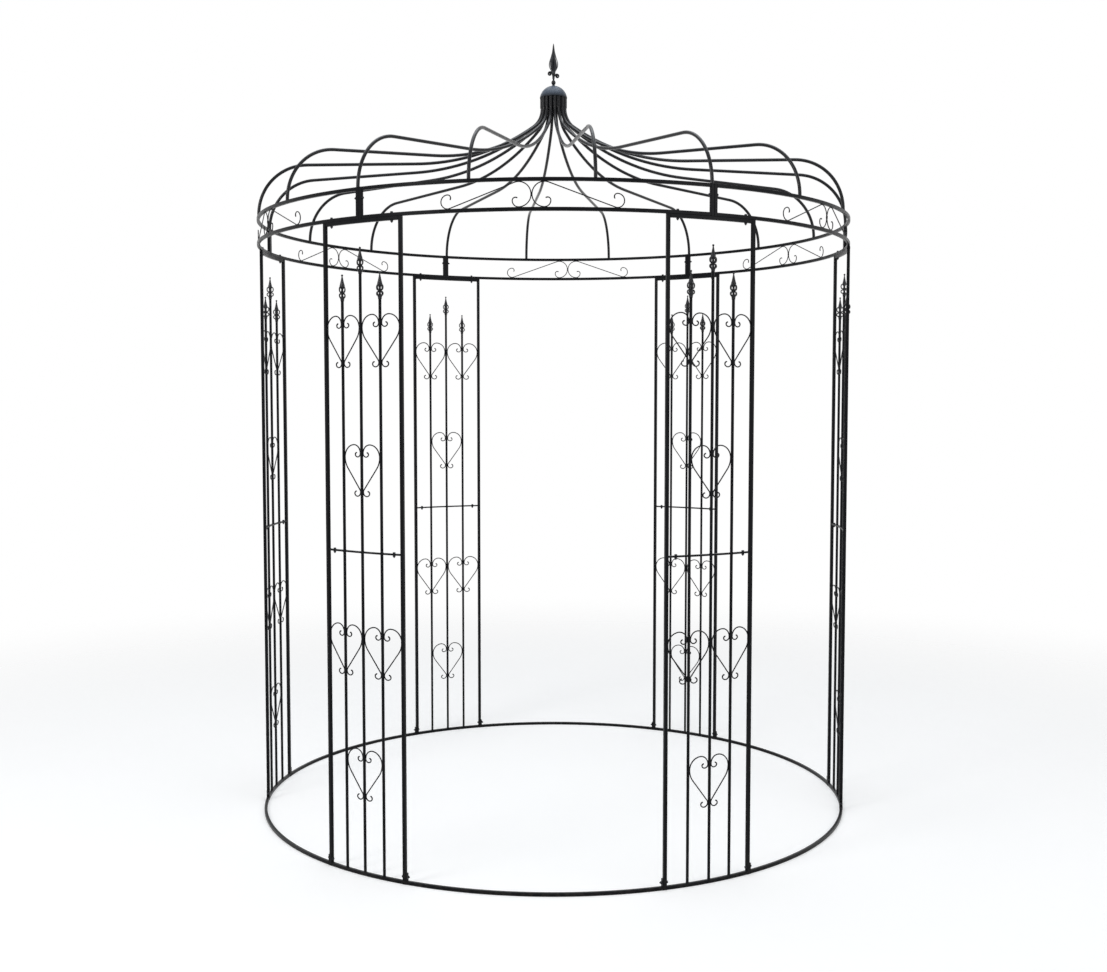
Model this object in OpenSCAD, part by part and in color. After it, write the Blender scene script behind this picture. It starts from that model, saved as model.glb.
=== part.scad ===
// Round metal rose pavilion: six curved lattice columns of two panels each, ground rails
// between their feet, a ring beam on their heads, and ogee roof bars that meet in a domed cap
// with a finial. Millimetres, +Z up, ground at z = 0, ring axis on Z, front doorway towards -Y.

/* [Ring] */
// Radius of the ring on which uprights, bars and rails are centred
ring_r = 1157; // [1050:1:1300]
// Side of the square tube of the frames
tube = 12; // [12:1:16]
// Width of the flat that eases the long corners of a tube, measured along its sides
tube_ease = 1; // [0.4:0.1:2]
// How far the faces of curved rails and strips lie behind the faces of the uprights
rail_inset = 0.5; // [0.3:0.1:0.8]
// Gap left between neighbouring pieces that are bolted side by side
fit_gap = 0.3; // [0.2:0.05:0.5]

/* [Column panels] */
// Height of one panel; a column is a lower and an upper panel
panel_h = 1100; // [1000:5:1250]
// Distance between the centre lines of a panel's two uprights
panel_w = 328; // [300:1:360]
// Diameter of the round bars
bar_d = 10; // [7:0.5:10]
// Thickness of the flat strips where the two panels meet
strip_t = 3; // [2:0.5:5]

/* [Heart scrolls] */
// Thickness of the scroll bar, seen from the front
scroll_t = 4; // [3:0.5:6]
// Radial depth of the scroll bar
scroll_w = 6; // [5:0.5:8]
// Depth by which a scroll sinks into the bar it is welded to
weld = 1.2; // [1.1:0.1:1.6]
// Height of a heart, from the top of its lobes to the turn of its tails
heart_h = 160; // [140:1:180]
// Radius of the small hooks inside the cleft
hook_r = 12; // [9:0.5:14]
// Radius of the tails below the point
tail_r = 14; // [10:0.5:16]
// Radius of the heart's flank, where it leaves the outer bar
flank_r = 60; // [50:1:70]
// Place of a lobe's top between its own bar and the next, as a share of the way
crest_share = 0.4; // [0.35:0.01:0.45]
// Diameter of the eye that ends each hook
eye_d = 7; // [6:0.5:9]
// Top of the upper panel's pair of hearts, below the panel's top
upper_pair_drop = 310; // [290:5:340]
// Top of the upper panel's single heart, below the panel's top
upper_single_drop = 739; // [700:5:760]
// Top of the lower panel's pair of hearts, below the panel's top
lower_pair_drop = 247; // [150:5:300]
// Top of the lower panel's single heart, below the panel's top
lower_single_drop = 667; // [600:5:760]

/* [Spear points] */
// Height of a cast spear point
spear_h = 88; // [80:1:100]
// Width over the loops of a spear point
spear_w = 30; // [28:1:34]
// Thickness of the loops
spear_t = 4; // [3:0.5:5]
// Diameter of the hole in a loop
spear_hole = 5.4; // [4:0.2:7]
// Diameter of the ball on the tip
spear_ball = 5; // [4:0.5:6]
// Middle spear's tip, below the panel's top
mid_tip_drop = 89; // [60:1:110]
// Side spears' tips, below the panel's top
side_tip_drop = 175; // [150:1:190]

/* [Ground rails] */
// Height of the bolting tabs at the ends of a ground rail
tab_h = 38; // [30:1:50]
// Thickness of the bolting tabs
tab_t = 4; // [3:0.5:6]

/* [Ring beam] */
// Height of the ring beam
beam_h = 105; // [95:1:120]
// Distance of the outer hooks from the middle of a beam
ornament_x = 270; // [240:5:320]
// Radius of the outer hooks
outer_hook_r = 22; // [16:1:26]
// Radius of the hooks at the foot of the middle curls
inner_hook_r = 20; // [14:1:24]
// Radius at which every ornament hook closes
hook_end_r = 10; // [8:1:12]
// Diameter of the pegs that carry the roof bars
peg_d = 6; // [5:0.5:7]
// Height of the pegs
peg_h = 22; // [15:1:30]

/* [Roof bars] */
// Diameter of the round roof bars
roof_bar_d = 12; // [10:0.5:13]
// Radius of the shoulder above the beam
shoulder_r = 195; // [150:5:230]
// Rise of the straight stretch behind the shoulder, in degrees
shelf_rise = 3.5; // [1:0.5:8]
// Radius of the long sweep towards the middle
sweep_r = 894; // [700:10:1000]
// Slope at which the long sweep ends, in degrees
sweep_end = 36; // [30:1:42]
// Radius of the last bend, into the upright stem
neck_r = 94; // [70:2:120]
// Length of the upright stem that enters the cap
stem = 42; // [30:1:60]

/* [Cap] */
// Radius of the circle on which the stems stand
crown_r = 46; // [44:0.5:52]
// Wall of a socket
socket_wall = 1.2; // [1:0.1:1.4]
// Clearance between a stem and its socket, each side
socket_gap = 0.2; // [0.1:0.05:0.3]
// Depth of the sockets
socket_h = 40; // [30:1:42]
// Height of the dome above the sockets
dome_h = 48; // [40:1:54]
// Thickness of the dome's shell
dome_t = 2; // [1.5:0.5:4]
// Thickness of the plate that closes the dome above the sockets
plate_t = 3; // [2:0.5:4]
// Diameter of the boss under the finial
boss_d = 12; // [10:1:16]
// Height of the boss
boss_h = 2; // [1:0.5:4]

/* [Finial] */
// Height of the finial
finial_h = 164; // [140:1:190]
// Diameter of the ball at the foot of the finial
ball_d = 17; // [15:0.5:19]
// Greatest width of the leaf bud
bud_w = 35; // [28:1:40]
// Width over the curls
curl_w = 46; // [40:1:54]
// Thickness of a curl, seen from the side
curl_t = 5; // [4:0.5:6]
// Breadth of a curl, seen from above
curl_breadth = 6; // [5:0.5:8]
// Width of the gap cut between two leaves of the bud
leaf_gap = 6; // [4:0.5:8]
// Diameter of the stud that holds the finial in the cap
stud_d = 5; // [4:0.5:6]
// Length of the stud below the finial
stud_l = 12; // [8:1:20]

/* [Hidden] */
columns = 6;
bars_per_beam = 3;

round_fn = 32;              // faces of bars and small rounds
fine_fn = 96;               // faces of the dome and of the leaves' edges
ring_fn = 360;              // faces of the big curves on the ring
$fn = round_fn;
sagitta = 0.25;             // how far a scroll's points may stand off its true curve
bite = 4;                   // how far the end of a rail or strip enters an upright
spare = 2;                  // how far rails and uprights run over before they are cut flush
seam = 0.1;                 // the stretches of a roof bar differ by this in diameter where
lap = 1;                    // one enters the next by this much, so that they join as one
finish = [0.10, 0.10, 0.11];

rail_w = tube - 2 * rail_inset;                      // radial depth of rails and strips
bay = 360 / columns;                                 // angle from column to column
panel_a = asin(panel_w / 2 / ring_r);                // panel's middle to its upright
pitch_a = panel_a / 2;                               // bar to bar
pitch = 2 * ring_r * sin(pitch_a / 2);
beam_z = 2 * panel_h;
roof_z = beam_z + beam_h;
post_a = bay / 2 - asin((tube + fit_gap) / 2 / ring_r);   // beam's middle to its end post
peg_angles = [-bay / 6, bay / 6, post_a];
bite_a = asin((tube / 2 - bite) / ring_r);                // an upright's middle to a rail's end

function numbered(name, count) = [for (i = [1:count]) str(name, i)];

// ---- Paths: a point is [x, y, heading]; a move is [radius, turn], or [length, 0] ----
function legs(move) =
    move[1] == 0 ? 1 : ceil(abs(move[1]) / (2 * acos(1 - sagitta / move[0])));
function chord(move) =
    move[1] == 0 ? move[0] : 2 * move[0] * sin(abs(move[1]) / legs(move) / 2);
function forward(p, length, turn) =
    [p[0] + length * cos(p[2] + turn / 2), p[1] + length * sin(p[2] + turn / 2), p[2] + turn];
function leg(p, length, turn, count) =
    count == 0 ? [] :
    let (q = forward(p, length, turn)) concat([q], leg(q, length, turn, count - 1));
function walk(p, moves, i = 0) =
    i == len(moves) ? [] :
    let (run = leg(p, chord(moves[i]), moves[i][1] / legs(moves[i]), legs(moves[i])))
    concat(run, walk(run[len(run) - 1], moves, i + 1));
function path(start, moves) = concat([start], walk(start, moves));

// Straight line that leaves one circle and joins another that turns the other way
function span(c, d) = norm([d[0] - c[0], d[1] - c[1]]);
function toward(c, d) = atan2(d[1] - c[1], d[0] - c[0]);
function cross_length(c, d, radii) = sqrt(span(c, d) * span(c, d) - radii * radii);
function cross_angle(c, d, radii) = asin(radii / span(c, d));

function edge(points, offset) =
    [for (p = points) [p[0] - offset * sin(p[2]), p[1] + offset * cos(p[2])]];
function backwards(list) = [for (i = [len(list) - 1:-1:0]) list[i]];

// Flat bar of width t along a path, with a round eye at the ends named by eyes
module stroke(points, t, eyes) {
    polygon(concat(edge(points, t / 2), backwards(edge(points, -t / 2))));
    for (i = eyes)
        translate([points[i][0], points[i][1]]) circle(d = eye_d);
}

// ---- Placing on the ring: angle 0 is the front, positive angles go to +X ----
module on_ring(angle) {
    rotate([0, 0, angle]) translate([0, -ring_r, 0]) children();
}

// Sweeps its outline, whose origin lies on the ring, from one angle to the other
module around_ring(from, to) {
    rotate([0, 0, from - 90])
        rotate_extrude(angle = to - from, $fn = ring_fn) translate([ring_r, 0]) children();
}

// Bar of eased corners, its foot in the middle of the lower side. Below and above it may run
// on by a spare length, inside its corners, for a later cut.
module eased(width, height, below = 0, above = 0) {
    ease = min(tube_ease, height / 4);
    foot_x = width / 2 - ease;
    polygon([
        [foot_x - below, -below], [width / 2, ease],
        [width / 2, height - ease], [foot_x - above, height + above],
        [above - foot_x, height + above], [-width / 2, height - ease],
        [-width / 2, ease], [below - foot_x, -below]]);
}

// Frame bent to the ring: uprights at both ends, a rail or strip at foot and head, cut flush
module frame(height, half_a, foot_t, head_t) {
    end_a = half_a - bite_a;
    difference() {
        union() {
            for (s = [-1, 1])
                on_ring(s * half_a) translate([0, 0, -2 * spare])
                    linear_extrude(height + 4 * spare)
                        translate([0, -tube / 2]) eased(tube, tube);
            around_ring(-end_a, end_a) eased(rail_w, foot_t, below = spare);
            translate([0, 0, height - head_t])
                around_ring(-end_a, end_a) eased(rail_w, head_t, above = spare);
        }
        for (z = [-3 * spare, height])
            translate([-2 * ring_r, -2 * ring_r, z])
                cube([4 * ring_r, 4 * ring_r, 3 * spare]);
    }
}

// ---- Heart scroll ----
near = bar_d / 2 + scroll_t / 2 - weld;      // scroll's middle line beside its own bar
far = pitch - near;                          // and beside the next bar
crest = near + crest_share * (far - near);   // top of a lobe
lobe_top = -scroll_t / 2;
lobe_in = crest - near;
lobe_out = far - crest;
flank_c = [far - flank_r, lobe_top - lobe_out];
tail_c = [near + tail_r, -heart_h];
diagonal = toward(flank_c, tail_c) - cross_angle(flank_c, tail_c, flank_r + tail_r);

half_heart = path(
    [near + 2 * hook_r, lobe_top - lobe_in - weld, -90],
    [[hook_r, -180], [weld, 0], [lobe_in, -90], [lobe_out, -90],
     [flank_r, diagonal + 90],
     [cross_length(flank_c, tail_c, flank_r + tail_r), 0],
     [tail_r, 100 - diagonal]]);

// Half a heart, from the bar it stands on towards the next one
module half_heart() {
    rotate([0, 0, pitch_a / 2]) rotate([90, 0, 0])
        linear_extrude(scroll_w, center = true)
            stroke(half_heart, scroll_t, [0, len(half_heart) - 1]);
}

// A heart whose middle is bar number i, with the top of its lobes at height z
module heart(i, z) {
    on_ring(i * pitch_a) translate([0, 0, z]) {
        half_heart();
        mirror([1, 0, 0]) half_heart();
    }
}

module hearts(pair_drop, single_drop) {
    for (i = [-1, 1]) heart(i, panel_h - pair_drop);
    heart(0, panel_h - single_drop);
}

// ---- Spear point, standing on z = 0 ----
loop_z = [0.2, 0.415];      // heights of the two tiers of loops, as shares of the spear's height
loop_r = spear_w * 0.26;
// Turned core, as shares of the spear's half width and of its height
spear_core = [
    [0.4, 0], [0.44, 0.07], [0.6, 0.13], [0.25, 0.18], [0.25, 0.22], [0.36, 0.3],
    [0.25, 0.38], [0.25, 0.44], [0.54, 0.51], [0.56, 0.54], [0.5, 0.59], [0.39, 0.68],
    [0.29, 0.77], [0.18, 0.87], [0.11, 0.93], [0.11, 0.96]];

module spear() {
    rotate_extrude() polygon(concat(
        [[0, 0]], [for (p = spear_core) [p[0] * spear_w / 2, p[1] * spear_h]],
        [[0, spear_core[len(spear_core) - 1][1] * spear_h]]));
    translate([0, 0, spear_h - spear_ball / 2]) sphere(d = spear_ball);
    for (a = [0, 90])
        rotate([90, 0, a]) linear_extrude(spear_t, center = true)
            for (s = [-1, 1], z = loop_z)
                translate([s * (spear_w / 2 - loop_r), z * spear_h]) difference() {
                    circle(loop_r);
                    circle(d = spear_hole);
                }
}

// ---- Column panels ----
module bar(i, from, to) {
    on_ring(i * pitch_a) translate([0, 0, from]) cylinder(d = bar_d, h = to - from);
}

module lower_panel(k) {
    color(finish) rotate([0, 0, bay * (k - 0.5)]) {
        frame(panel_h, panel_a, tube, strip_t);
        for (i = [-1:1]) bar(i, tube / 2, panel_h - strip_t / 2);
        hearts(lower_pair_drop, lower_single_drop);
    }
}

module upper_panel(k) {
    color(finish) translate([0, 0, panel_h]) rotate([0, 0, bay * (k - 0.5)]) {
        frame(panel_h, panel_a, strip_t, tube);
        for (i = [-1:1]) {
            foot = panel_h - (i == 0 ? mid_tip_drop : side_tip_drop) - spear_h;
            bar(i, strip_t / 2, foot + 1);
            on_ring(i * pitch_a) translate([0, 0, foot]) spear();
        }
        hearts(upper_pair_drop, upper_single_drop);
    }
}

// ---- Ground rail from column to column ----
module ground_rail(k) {
    reach = bay / 2 - panel_a - asin((tube / 2 + fit_gap) / ring_r);
    tab_a = reach - asin(tab_t / 2 / ring_r);
    color(finish) rotate([0, 0, bay * (k - 1)]) {
        around_ring(-tab_a, tab_a) eased(rail_w, tube);
        for (s = [-1, 1])
            on_ring(s * tab_a)
                translate([-tab_t / 2, -tube / 2, 0]) cube([tab_t, tube, tab_h]);
    }
}

// ---- Ring beam ----
inner_h = beam_h - 2 * tube;                        // clear height between its rails
curl_r = (inner_h - scroll_t) / 2 + weld;
curl_c = [-(curl_r + scroll_t / 2 - weld / 2), inner_h / 2];
outer_c = [-ornament_x, scroll_t / 2 - weld + outer_hook_r];
rise_a = toward(outer_c, curl_c) + cross_angle(outer_c, curl_c, outer_hook_r + curl_r);

half_ornament = path(
    [-ornament_x + hook_end_r, outer_c[1] + outer_hook_r - hook_end_r, 90],
    [[hook_end_r, 90], [outer_hook_r, 180 + rise_a],
     [cross_length(outer_c, curl_c, outer_hook_r + curl_r), 0],
     [curl_r, -rise_a - 180], [inner_hook_r, -90], [hook_end_r, -80]]);

module ornament() {
    intersection() {
        translate([0, -ring_r, tube]) rotate([90, 0, 0])
            linear_extrude(ring_r / 4, center = true) {
                stroke(half_ornament, scroll_t, [0, len(half_ornament) - 1]);
                mirror([1, 0]) stroke(half_ornament, scroll_t, [0, len(half_ornament) - 1]);
            }
        around_ring(-bay / 3, bay / 3)
            translate([-scroll_w / 2, 0]) square([scroll_w, beam_h]);
    }
}

module ring_beam(k) {
    color(finish) translate([0, 0, beam_z]) rotate([0, 0, bay * (k - 1)]) {
        frame(beam_h, post_a, tube, tube);
        for (a = peg_angles)
            on_ring(a) translate([0, 0, beam_h - 1]) cylinder(d = peg_d, h = peg_h + 1);
        ornament();
    }
}

// ---- Roof bars: moves along the bar, from the beam up to the cap ----
shelf = (ring_r - crown_r - shoulder_r * (1 - sin(shelf_rise))
    - sweep_r * (sin(sweep_end) - sin(shelf_rise))
    - neck_r * (1 - sin(sweep_end))) / cos(shelf_rise);
roof_rise = shoulder_r * cos(shelf_rise) + shelf * sin(shelf_rise)
    + sweep_r * (cos(shelf_rise) - cos(sweep_end)) + neck_r * cos(sweep_end) + stem;
bar_moves = [
    [shoulder_r, 90 - shelf_rise], [shelf, 0], [sweep_r, shelf_rise - sweep_end],
    [neck_r, sweep_end - 90], [stem, 0]];

// Round bar that starts upwards at the origin and bends towards -X on a positive turn.
// Every second stretch is a hair thinner and enters its neighbours at both ends.
module bent_bar(moves, i = 0) {
    if (i < len(moves)) {
        size = moves[i][0];
        turn = moves[i][1];
        side = turn < 0 ? -1 : 1;
        d = roof_bar_d - (i % 2) * seam;
        into = (i % 2) * lap;
        if (turn == 0) {
            translate([0, 0, -into]) cylinder(d = d, h = size + 2 * into);
            translate([0, 0, size]) bent_bar(moves, i + 1);
        } else {
            into_a = into / size * 180 / PI;
            translate([-side * size, 0, 0]) {
                mirror([side < 0 ? 1 : 0, 0, 0]) rotate([90, 0, 0]) rotate([0, 0, -into_a])
                    rotate_extrude(angle = abs(turn) + 2 * into_a, $fn = ring_fn)
                        translate([size, 0]) circle(d = d, $fn = round_fn);
                rotate([0, -turn, 0]) translate([side * size, 0, 0]) bent_bar(moves, i + 1);
            }
        }
    }
}

function roof_angle(n) =
    bay * floor((n - 1) / bars_per_beam) + peg_angles[(n - 1) % bars_per_beam];

module roof_bar(n) {
    color(finish) translate([0, 0, roof_z]) rotate([0, 0, roof_angle(n) - 90])
        translate([ring_r, 0, 0]) difference() {
            bent_bar(bar_moves);
            translate([0, 0, -1]) cylinder(d = peg_d + 2 * fit_gap, h = peg_h + 1 + fit_gap);
        }
}

// ---- Cap: a dome over a ring of sockets ----
cap_z = roof_z + roof_rise;
socket_d = roof_bar_d + 2 * (socket_gap + socket_wall);
dome_r = crown_r + socket_d / 2 + socket_wall;
dome_ball = (dome_r * dome_r + dome_h * dome_h) / (2 * dome_h);
boss_root = 4;              // how far the boss reaches down inside the dome's shell

module roof_cap() {
    color(finish) translate([0, 0, cap_z]) difference() {
        union() {
            difference() {
                intersection() {
                    translate([0, 0, dome_h - dome_ball]) sphere(dome_ball, $fn = fine_fn);
                    cylinder(r = dome_r + 1, h = dome_h + 1, $fn = fine_fn);
                }
                difference() {
                    translate([0, 0, dome_h - dome_ball]) sphere(dome_ball - dome_t, $fn = fine_fn);
                    translate([0, 0, -dome_h]) cylinder(r = 2 * dome_r, h = dome_h + plate_t);
                }
                translate([0, 0, -1])
                    cylinder(r = crown_r - socket_d / 2 - 1, h = plate_t + 2, $fn = fine_fn);
            }
            translate([0, 0, dome_h - dome_t - boss_root])
                cylinder(d = boss_d, h = boss_h + dome_t + boss_root);
            for (n = [1:columns * bars_per_beam])
                rotate([0, 0, roof_angle(n) - 90]) translate([crown_r, 0, -socket_h])
                    cylinder(d = socket_d, h = socket_h + 1);
        }
        for (n = [1:columns * bars_per_beam])
            rotate([0, 0, roof_angle(n) - 90]) translate([crown_r, 0, -socket_h - 1])
                cylinder(d = roof_bar_d + 2 * socket_gap, h = socket_h + 1);
        translate([0, 0, dome_h + boss_h - stud_l - 1])
            cylinder(d = stud_d + 2 * fit_gap, h = stud_l + 2);
    }
}

// ---- Finial: a ball, a ring of curls and a leaf bud that ends in a long tip ----
// Outline below the bud: [radius, share of the finial's height]
stalk = [
    [boss_d / 2 - 1, 0], [4.2, 0.03], [4.2, 0.16], [3.8, 0.19], [6.8, 0.225], [7.4, 0.28],
    [6.8, 0.34]];
// Outline of the bud: shares of its half width and of the finial's height
bud = [
    [0.58, 0.37], [0.76, 0.395], [0.92, 0.435], [1, 0.485], [0.98, 0.53], [0.88, 0.575],
    [0.72, 0.63], [0.55, 0.69], [0.38, 0.75], [0.27, 0.81], [0.2, 0.88], [0.1, 0.96]];
ball_z = ball_d / 2 + 2;    // middle of the ball, a little above the boss
leaf_r = 40;                // radius of the edges of a gap between two leaves
leaf_z = 0.5;               // height of its middle, as a share
curl_z = 0.3;               // height at which the curls leave the stalk, as a share
curl_x = 6;                 // start of their middle line, inside the stalk
curl_up = 30;               // slope at which they start, in degrees
top_curl_r = (curl_w / 2 - curl_t / 2 - curl_x) / (1 + sin(curl_up));
half_curl = path([curl_x, 0, curl_up],
    [[top_curl_r, -curl_up - 90], [top_curl_r / 2, -180], [top_curl_r / 3, -120]]);

module finial() {
    color(finish) translate([0, 0, cap_z + dome_h + boss_h]) {
        translate([0, 0, -stud_l]) cylinder(d = stud_d, h = stud_l + ball_d / 2);
        translate([0, 0, ball_z]) sphere(d = ball_d);
        difference() {
            rotate_extrude() polygon(concat(
                [[0, 0]], [for (p = stalk) [p[0], p[1] * finial_h]],
                [for (p = bud) [p[0] * bud_w / 2, p[1] * finial_h]], [[0, finial_h]]));
            for (a = [30:60:330])
                rotate([0, 0, a]) translate([bud_w / 4, 0, leaf_z * finial_h]) rotate([90, 0, 90])
                    linear_extrude(bud_w) intersection_for (m = [-1, 1])
                        translate([m * (leaf_r - leaf_gap / 2), 0])
                            circle(leaf_r, $fn = fine_fn);
        }
        for (a = [0:90:270])
            rotate([90, 0, a]) linear_extrude(curl_breadth, center = true)
                translate([0, curl_z * finial_h])
                    stroke(half_curl, curl_t, [len(half_curl) - 1]);
    }
}

for (k = [1:columns])
    lower_panel(k);
for (k = [1:columns])
    upper_panel(k);
for (k = [1:columns])
    ground_rail(k);
for (k = [1:columns])
    ring_beam(k);
for (n = [1:columns * bars_per_beam])
    roof_bar(n);
roof_cap();
finial();
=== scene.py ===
"""Dresses the round metal rose pavilion: frames, scrolls, welds, bolts, castings and studio.

The panels, ring beams and finial are finer pieces that stand for their plain solids. Ground
rails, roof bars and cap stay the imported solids, with finishes. All is in metres, on the
pavilion's own frame: Z up, ground at zero, ring axis on Z, front doorway towards -Y.
"""

import logging
import math
from collections.abc import Sequence
from dataclasses import dataclass, field
from enum import Enum

import bmesh
import bpy
from mathutils import Matrix, Vector


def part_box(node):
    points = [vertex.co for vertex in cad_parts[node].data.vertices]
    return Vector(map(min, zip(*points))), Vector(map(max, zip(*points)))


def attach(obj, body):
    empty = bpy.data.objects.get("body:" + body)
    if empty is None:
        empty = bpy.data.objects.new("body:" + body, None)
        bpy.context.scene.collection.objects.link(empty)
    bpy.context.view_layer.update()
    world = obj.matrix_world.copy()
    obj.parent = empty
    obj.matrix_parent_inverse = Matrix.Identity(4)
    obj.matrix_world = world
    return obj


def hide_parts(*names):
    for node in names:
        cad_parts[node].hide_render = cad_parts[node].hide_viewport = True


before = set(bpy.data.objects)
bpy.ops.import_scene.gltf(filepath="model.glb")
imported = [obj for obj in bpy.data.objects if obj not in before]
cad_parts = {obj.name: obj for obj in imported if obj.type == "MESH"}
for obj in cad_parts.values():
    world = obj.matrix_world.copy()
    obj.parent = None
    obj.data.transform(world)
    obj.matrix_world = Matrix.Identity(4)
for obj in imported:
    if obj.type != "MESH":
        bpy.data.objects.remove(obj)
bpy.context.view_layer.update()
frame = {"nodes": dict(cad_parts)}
LOG = logging.getLogger("pavilion")
WHITE = (1.0, 1.0, 1.0)

Colour = tuple[float, float, float]
Place = tuple[float, float, float]
Layer = tuple[float, float, float]  # Grain, depth and detail of a noise relief.
Band = tuple[float, float]  # Low and high end.
Profile = Sequence[tuple[float, float]]  # Radius and height of each turned ring.


class Slot(Enum):
    """Material slots of the record."""

    COAT = "powder_coat"
    CAST = "cast_black"


class Half(Enum):
    """Lower or upper panel of a column."""

    LOWER = "lower"
    UPPER = "upper"


class Run(Enum):
    """Which way a bolt points from its head, in the frame of its place on the ring."""

    LEFT = 1
    RIGHT = -1

    def turned(self) -> Matrix:
        """Turn that carries a bolt which points down to this direction."""
        return Matrix.Rotation(self.value * math.pi / 2, 4, "Y")


def circle(steps: int) -> list[float]:
    """Angles of evenly spaced points on a circle, in radians."""
    return [math.tau * i / steps for i in range(steps)]


def polar(radius: float, angle: float, z: float = 0.0) -> Vector:
    """Point that far from the Z axis, at that angle and height."""
    return Vector((radius * math.cos(angle), radius * math.sin(angle), z))


def oval(wide: float, high: float, angle: float) -> Vector:
    """Point of an upright oval round the origin, in the XZ plane."""
    return Vector((wide * math.cos(angle), 0, high * math.sin(angle)))


def put(name: str, data: bpy.types.ID) -> bpy.types.Object:
    """Puts a new object into the scene.

    Args:
        name: Name of the object.
        data: Its mesh, lamp or camera.

    Returns:
        The object.
    """
    made = bpy.data.objects.new(name, data)
    bpy.context.scene.collection.objects.link(made)
    return made


# ---- Finishes -------------------------------------------------------------------------------
class Recipe:
    """Node tree of one material, written as a chain of short calls."""

    # Sockets of a colour mix, which share their names with those of other kinds of mix.
    MIX_COLOURS = 6
    MIX_RESULT = 2

    def __init__(self, name: str) -> None:
        """Starts an empty material.

        Args:
            name: Name of the material.
        """
        self.material = bpy.data.materials.new(name)
        self.material.use_nodes = True
        self.tree = self.material.node_tree
        self.tree.nodes.clear()
        self.output = self.tree.nodes.new("ShaderNodeOutputMaterial")
        self.place = self.tree.nodes.new("ShaderNodeTexCoord").outputs["Object"]

    def feed(self, socket: bpy.types.NodeSocket, value: object) -> None:
        """Links a socket to another, or writes a plain value into it.

        Args:
            socket: Input that takes the value.
            value: An output socket, a number or a colour.
        """
        if isinstance(value, bpy.types.NodeSocket):
            self.tree.links.new(value, socket)
        elif isinstance(value, tuple) and len(value) == 3 and socket.type == "RGBA":
            socket.default_value = (*value, 1.0)
        else:
            socket.default_value = value

    def fill(self, made: bpy.types.Node, values: Sequence[object], first: int = 0) -> None:
        """Feeds values to inputs that share a name, by their order.

        Args:
            made: Node that takes them.
            values: The values.
            first: Number of the first input.
        """
        for index, value in enumerate(values, first):
            self.feed(made.inputs[index], value)

    def node(self, kind: str, **inputs: object) -> bpy.types.Node:
        """Adds a node and fills its inputs.

        Args:
            kind: Type of the node, without its ShaderNode prefix.
            inputs: Values by input name, with underscores for spaces.

        Returns:
            The new node.
        """
        made = self.tree.nodes.new("ShaderNode" + kind)
        for name, value in inputs.items():
            self.feed(made.inputs[name.replace("_", " ")], value)
        return made

    def noise(self, grain: float, detail: float) -> bpy.types.NodeSocket:
        """Noise from 0 to 1.

        Args:
            grain: Size of one blotch, in metres.
            detail: Number of finer layers.

        Returns:
            The noise value.
        """
        made = self.node("TexNoise", Vector=self.place, Scale=1.0 / grain, Detail=detail)
        return made.outputs["Fac"]

    def span(self, value: object, source: Band, result: Band = (0.0, 1.0)) -> bpy.types.NodeSocket:
        """Maps a range onto another with soft ends.

        Args:
            value: Socket to map.
            source: Values that become the ends of the result.
            result: Results at the low and the high end.

        Returns:
            The mapped value.
        """
        made = self.node("MapRange")
        made.interpolation_type = "SMOOTHSTEP"
        self.fill(made, (value, *source, *result))
        return made.outputs["Result"]

    def math(self, step: str, first: object, second: object) -> bpy.types.NodeSocket:
        """One sum on two values.

        Args:
            step: Name of the operation.
            first: First value.
            second: Second value.

        Returns:
            The result.
        """
        made = self.node("Math")
        made.operation = step
        self.fill(made, (first, second))
        return made.outputs[0]

    def blend(self, share: object, first: object, second: object) -> bpy.types.NodeSocket:
        """Mixes two colours.

        Args:
            share: Share of the second colour.
            first: First colour.
            second: Second colour.

        Returns:
            The mixed colour.
        """
        made = self.node("Mix")
        made.data_type = "RGBA"
        self.feed(made.inputs["Factor"], share)
        self.fill(made, (first, second), self.MIX_COLOURS)
        return made.outputs[self.MIX_RESULT]

    def axis(self, source: bpy.types.NodeSocket, name: str) -> bpy.types.NodeSocket:
        """One coordinate of a vector."""
        return self.node("SeparateXYZ", Vector=source).outputs[name]

    def facing(self) -> bpy.types.NodeSocket:
        """How far the surface looks up, 1 where it lies flat."""
        return self.axis(self.node("NewGeometry").outputs["Normal"], "Z")

    def bump(self, height: object, depth: float,
             under: bpy.types.NodeSocket | None = None) -> bpy.types.NodeSocket:
        """Relief from a height value.

        Args:
            height: Height from 0 to 1.
            depth: Depth of the relief, in metres.
            under: Relief that this one lies on.

        Returns:
            The bent normal.
        """
        made = self.node("Bump", Height=height, Strength=1.0, Distance=depth)
        if under is not None:
            self.feed(made.inputs["Normal"], under)
        return made.outputs["Normal"]

    def relief(self, *layers: Layer) -> bpy.types.NodeSocket:
        """Relief of noise, each layer on the one before.

        Args:
            layers: Grain, depth and detail of each layer.

        Returns:
            The bent normal.
        """
        normal = None
        for grain, depth, detail in layers:
            normal = self.bump(self.noise(grain, detail), depth, normal)
        return normal

    def surface(self, **inputs: object) -> bpy.types.Material:
        """Closes the recipe with one principled surface.

        Args:
            inputs: Values of the surface by input name, with underscores for spaces.

        Returns:
            The finished material.
        """
        made = self.node("BsdfPrincipled", **inputs)
        self.tree.links.new(made.outputs[0], self.output.inputs["Surface"])
        return self.material


@dataclass(frozen=True)
class DustAndSkyLight:
    """Dust in patches on what looks up, whose pale bluish colour is also painted sky light on
    those tops.
    """

    colour: Colour
    slope: Band
    patch: Band
    least: float
    share: float = 0.12

    def dust_and_sky_share(self, mix: Recipe, grain: bpy.types.NodeSocket) -> bpy.types.NodeSocket:
        """Share of dust and painted sky light on each spot, from its slope and from this grain."""
        # Faces that look up are lightened: partly dust, partly painted sky light.
        on_top = mix.span(mix.facing(), self.slope, (0.0, self.share))
        return mix.math("MULTIPLY", on_top, mix.span(grain, self.patch, (self.least, 1.0)))


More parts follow.
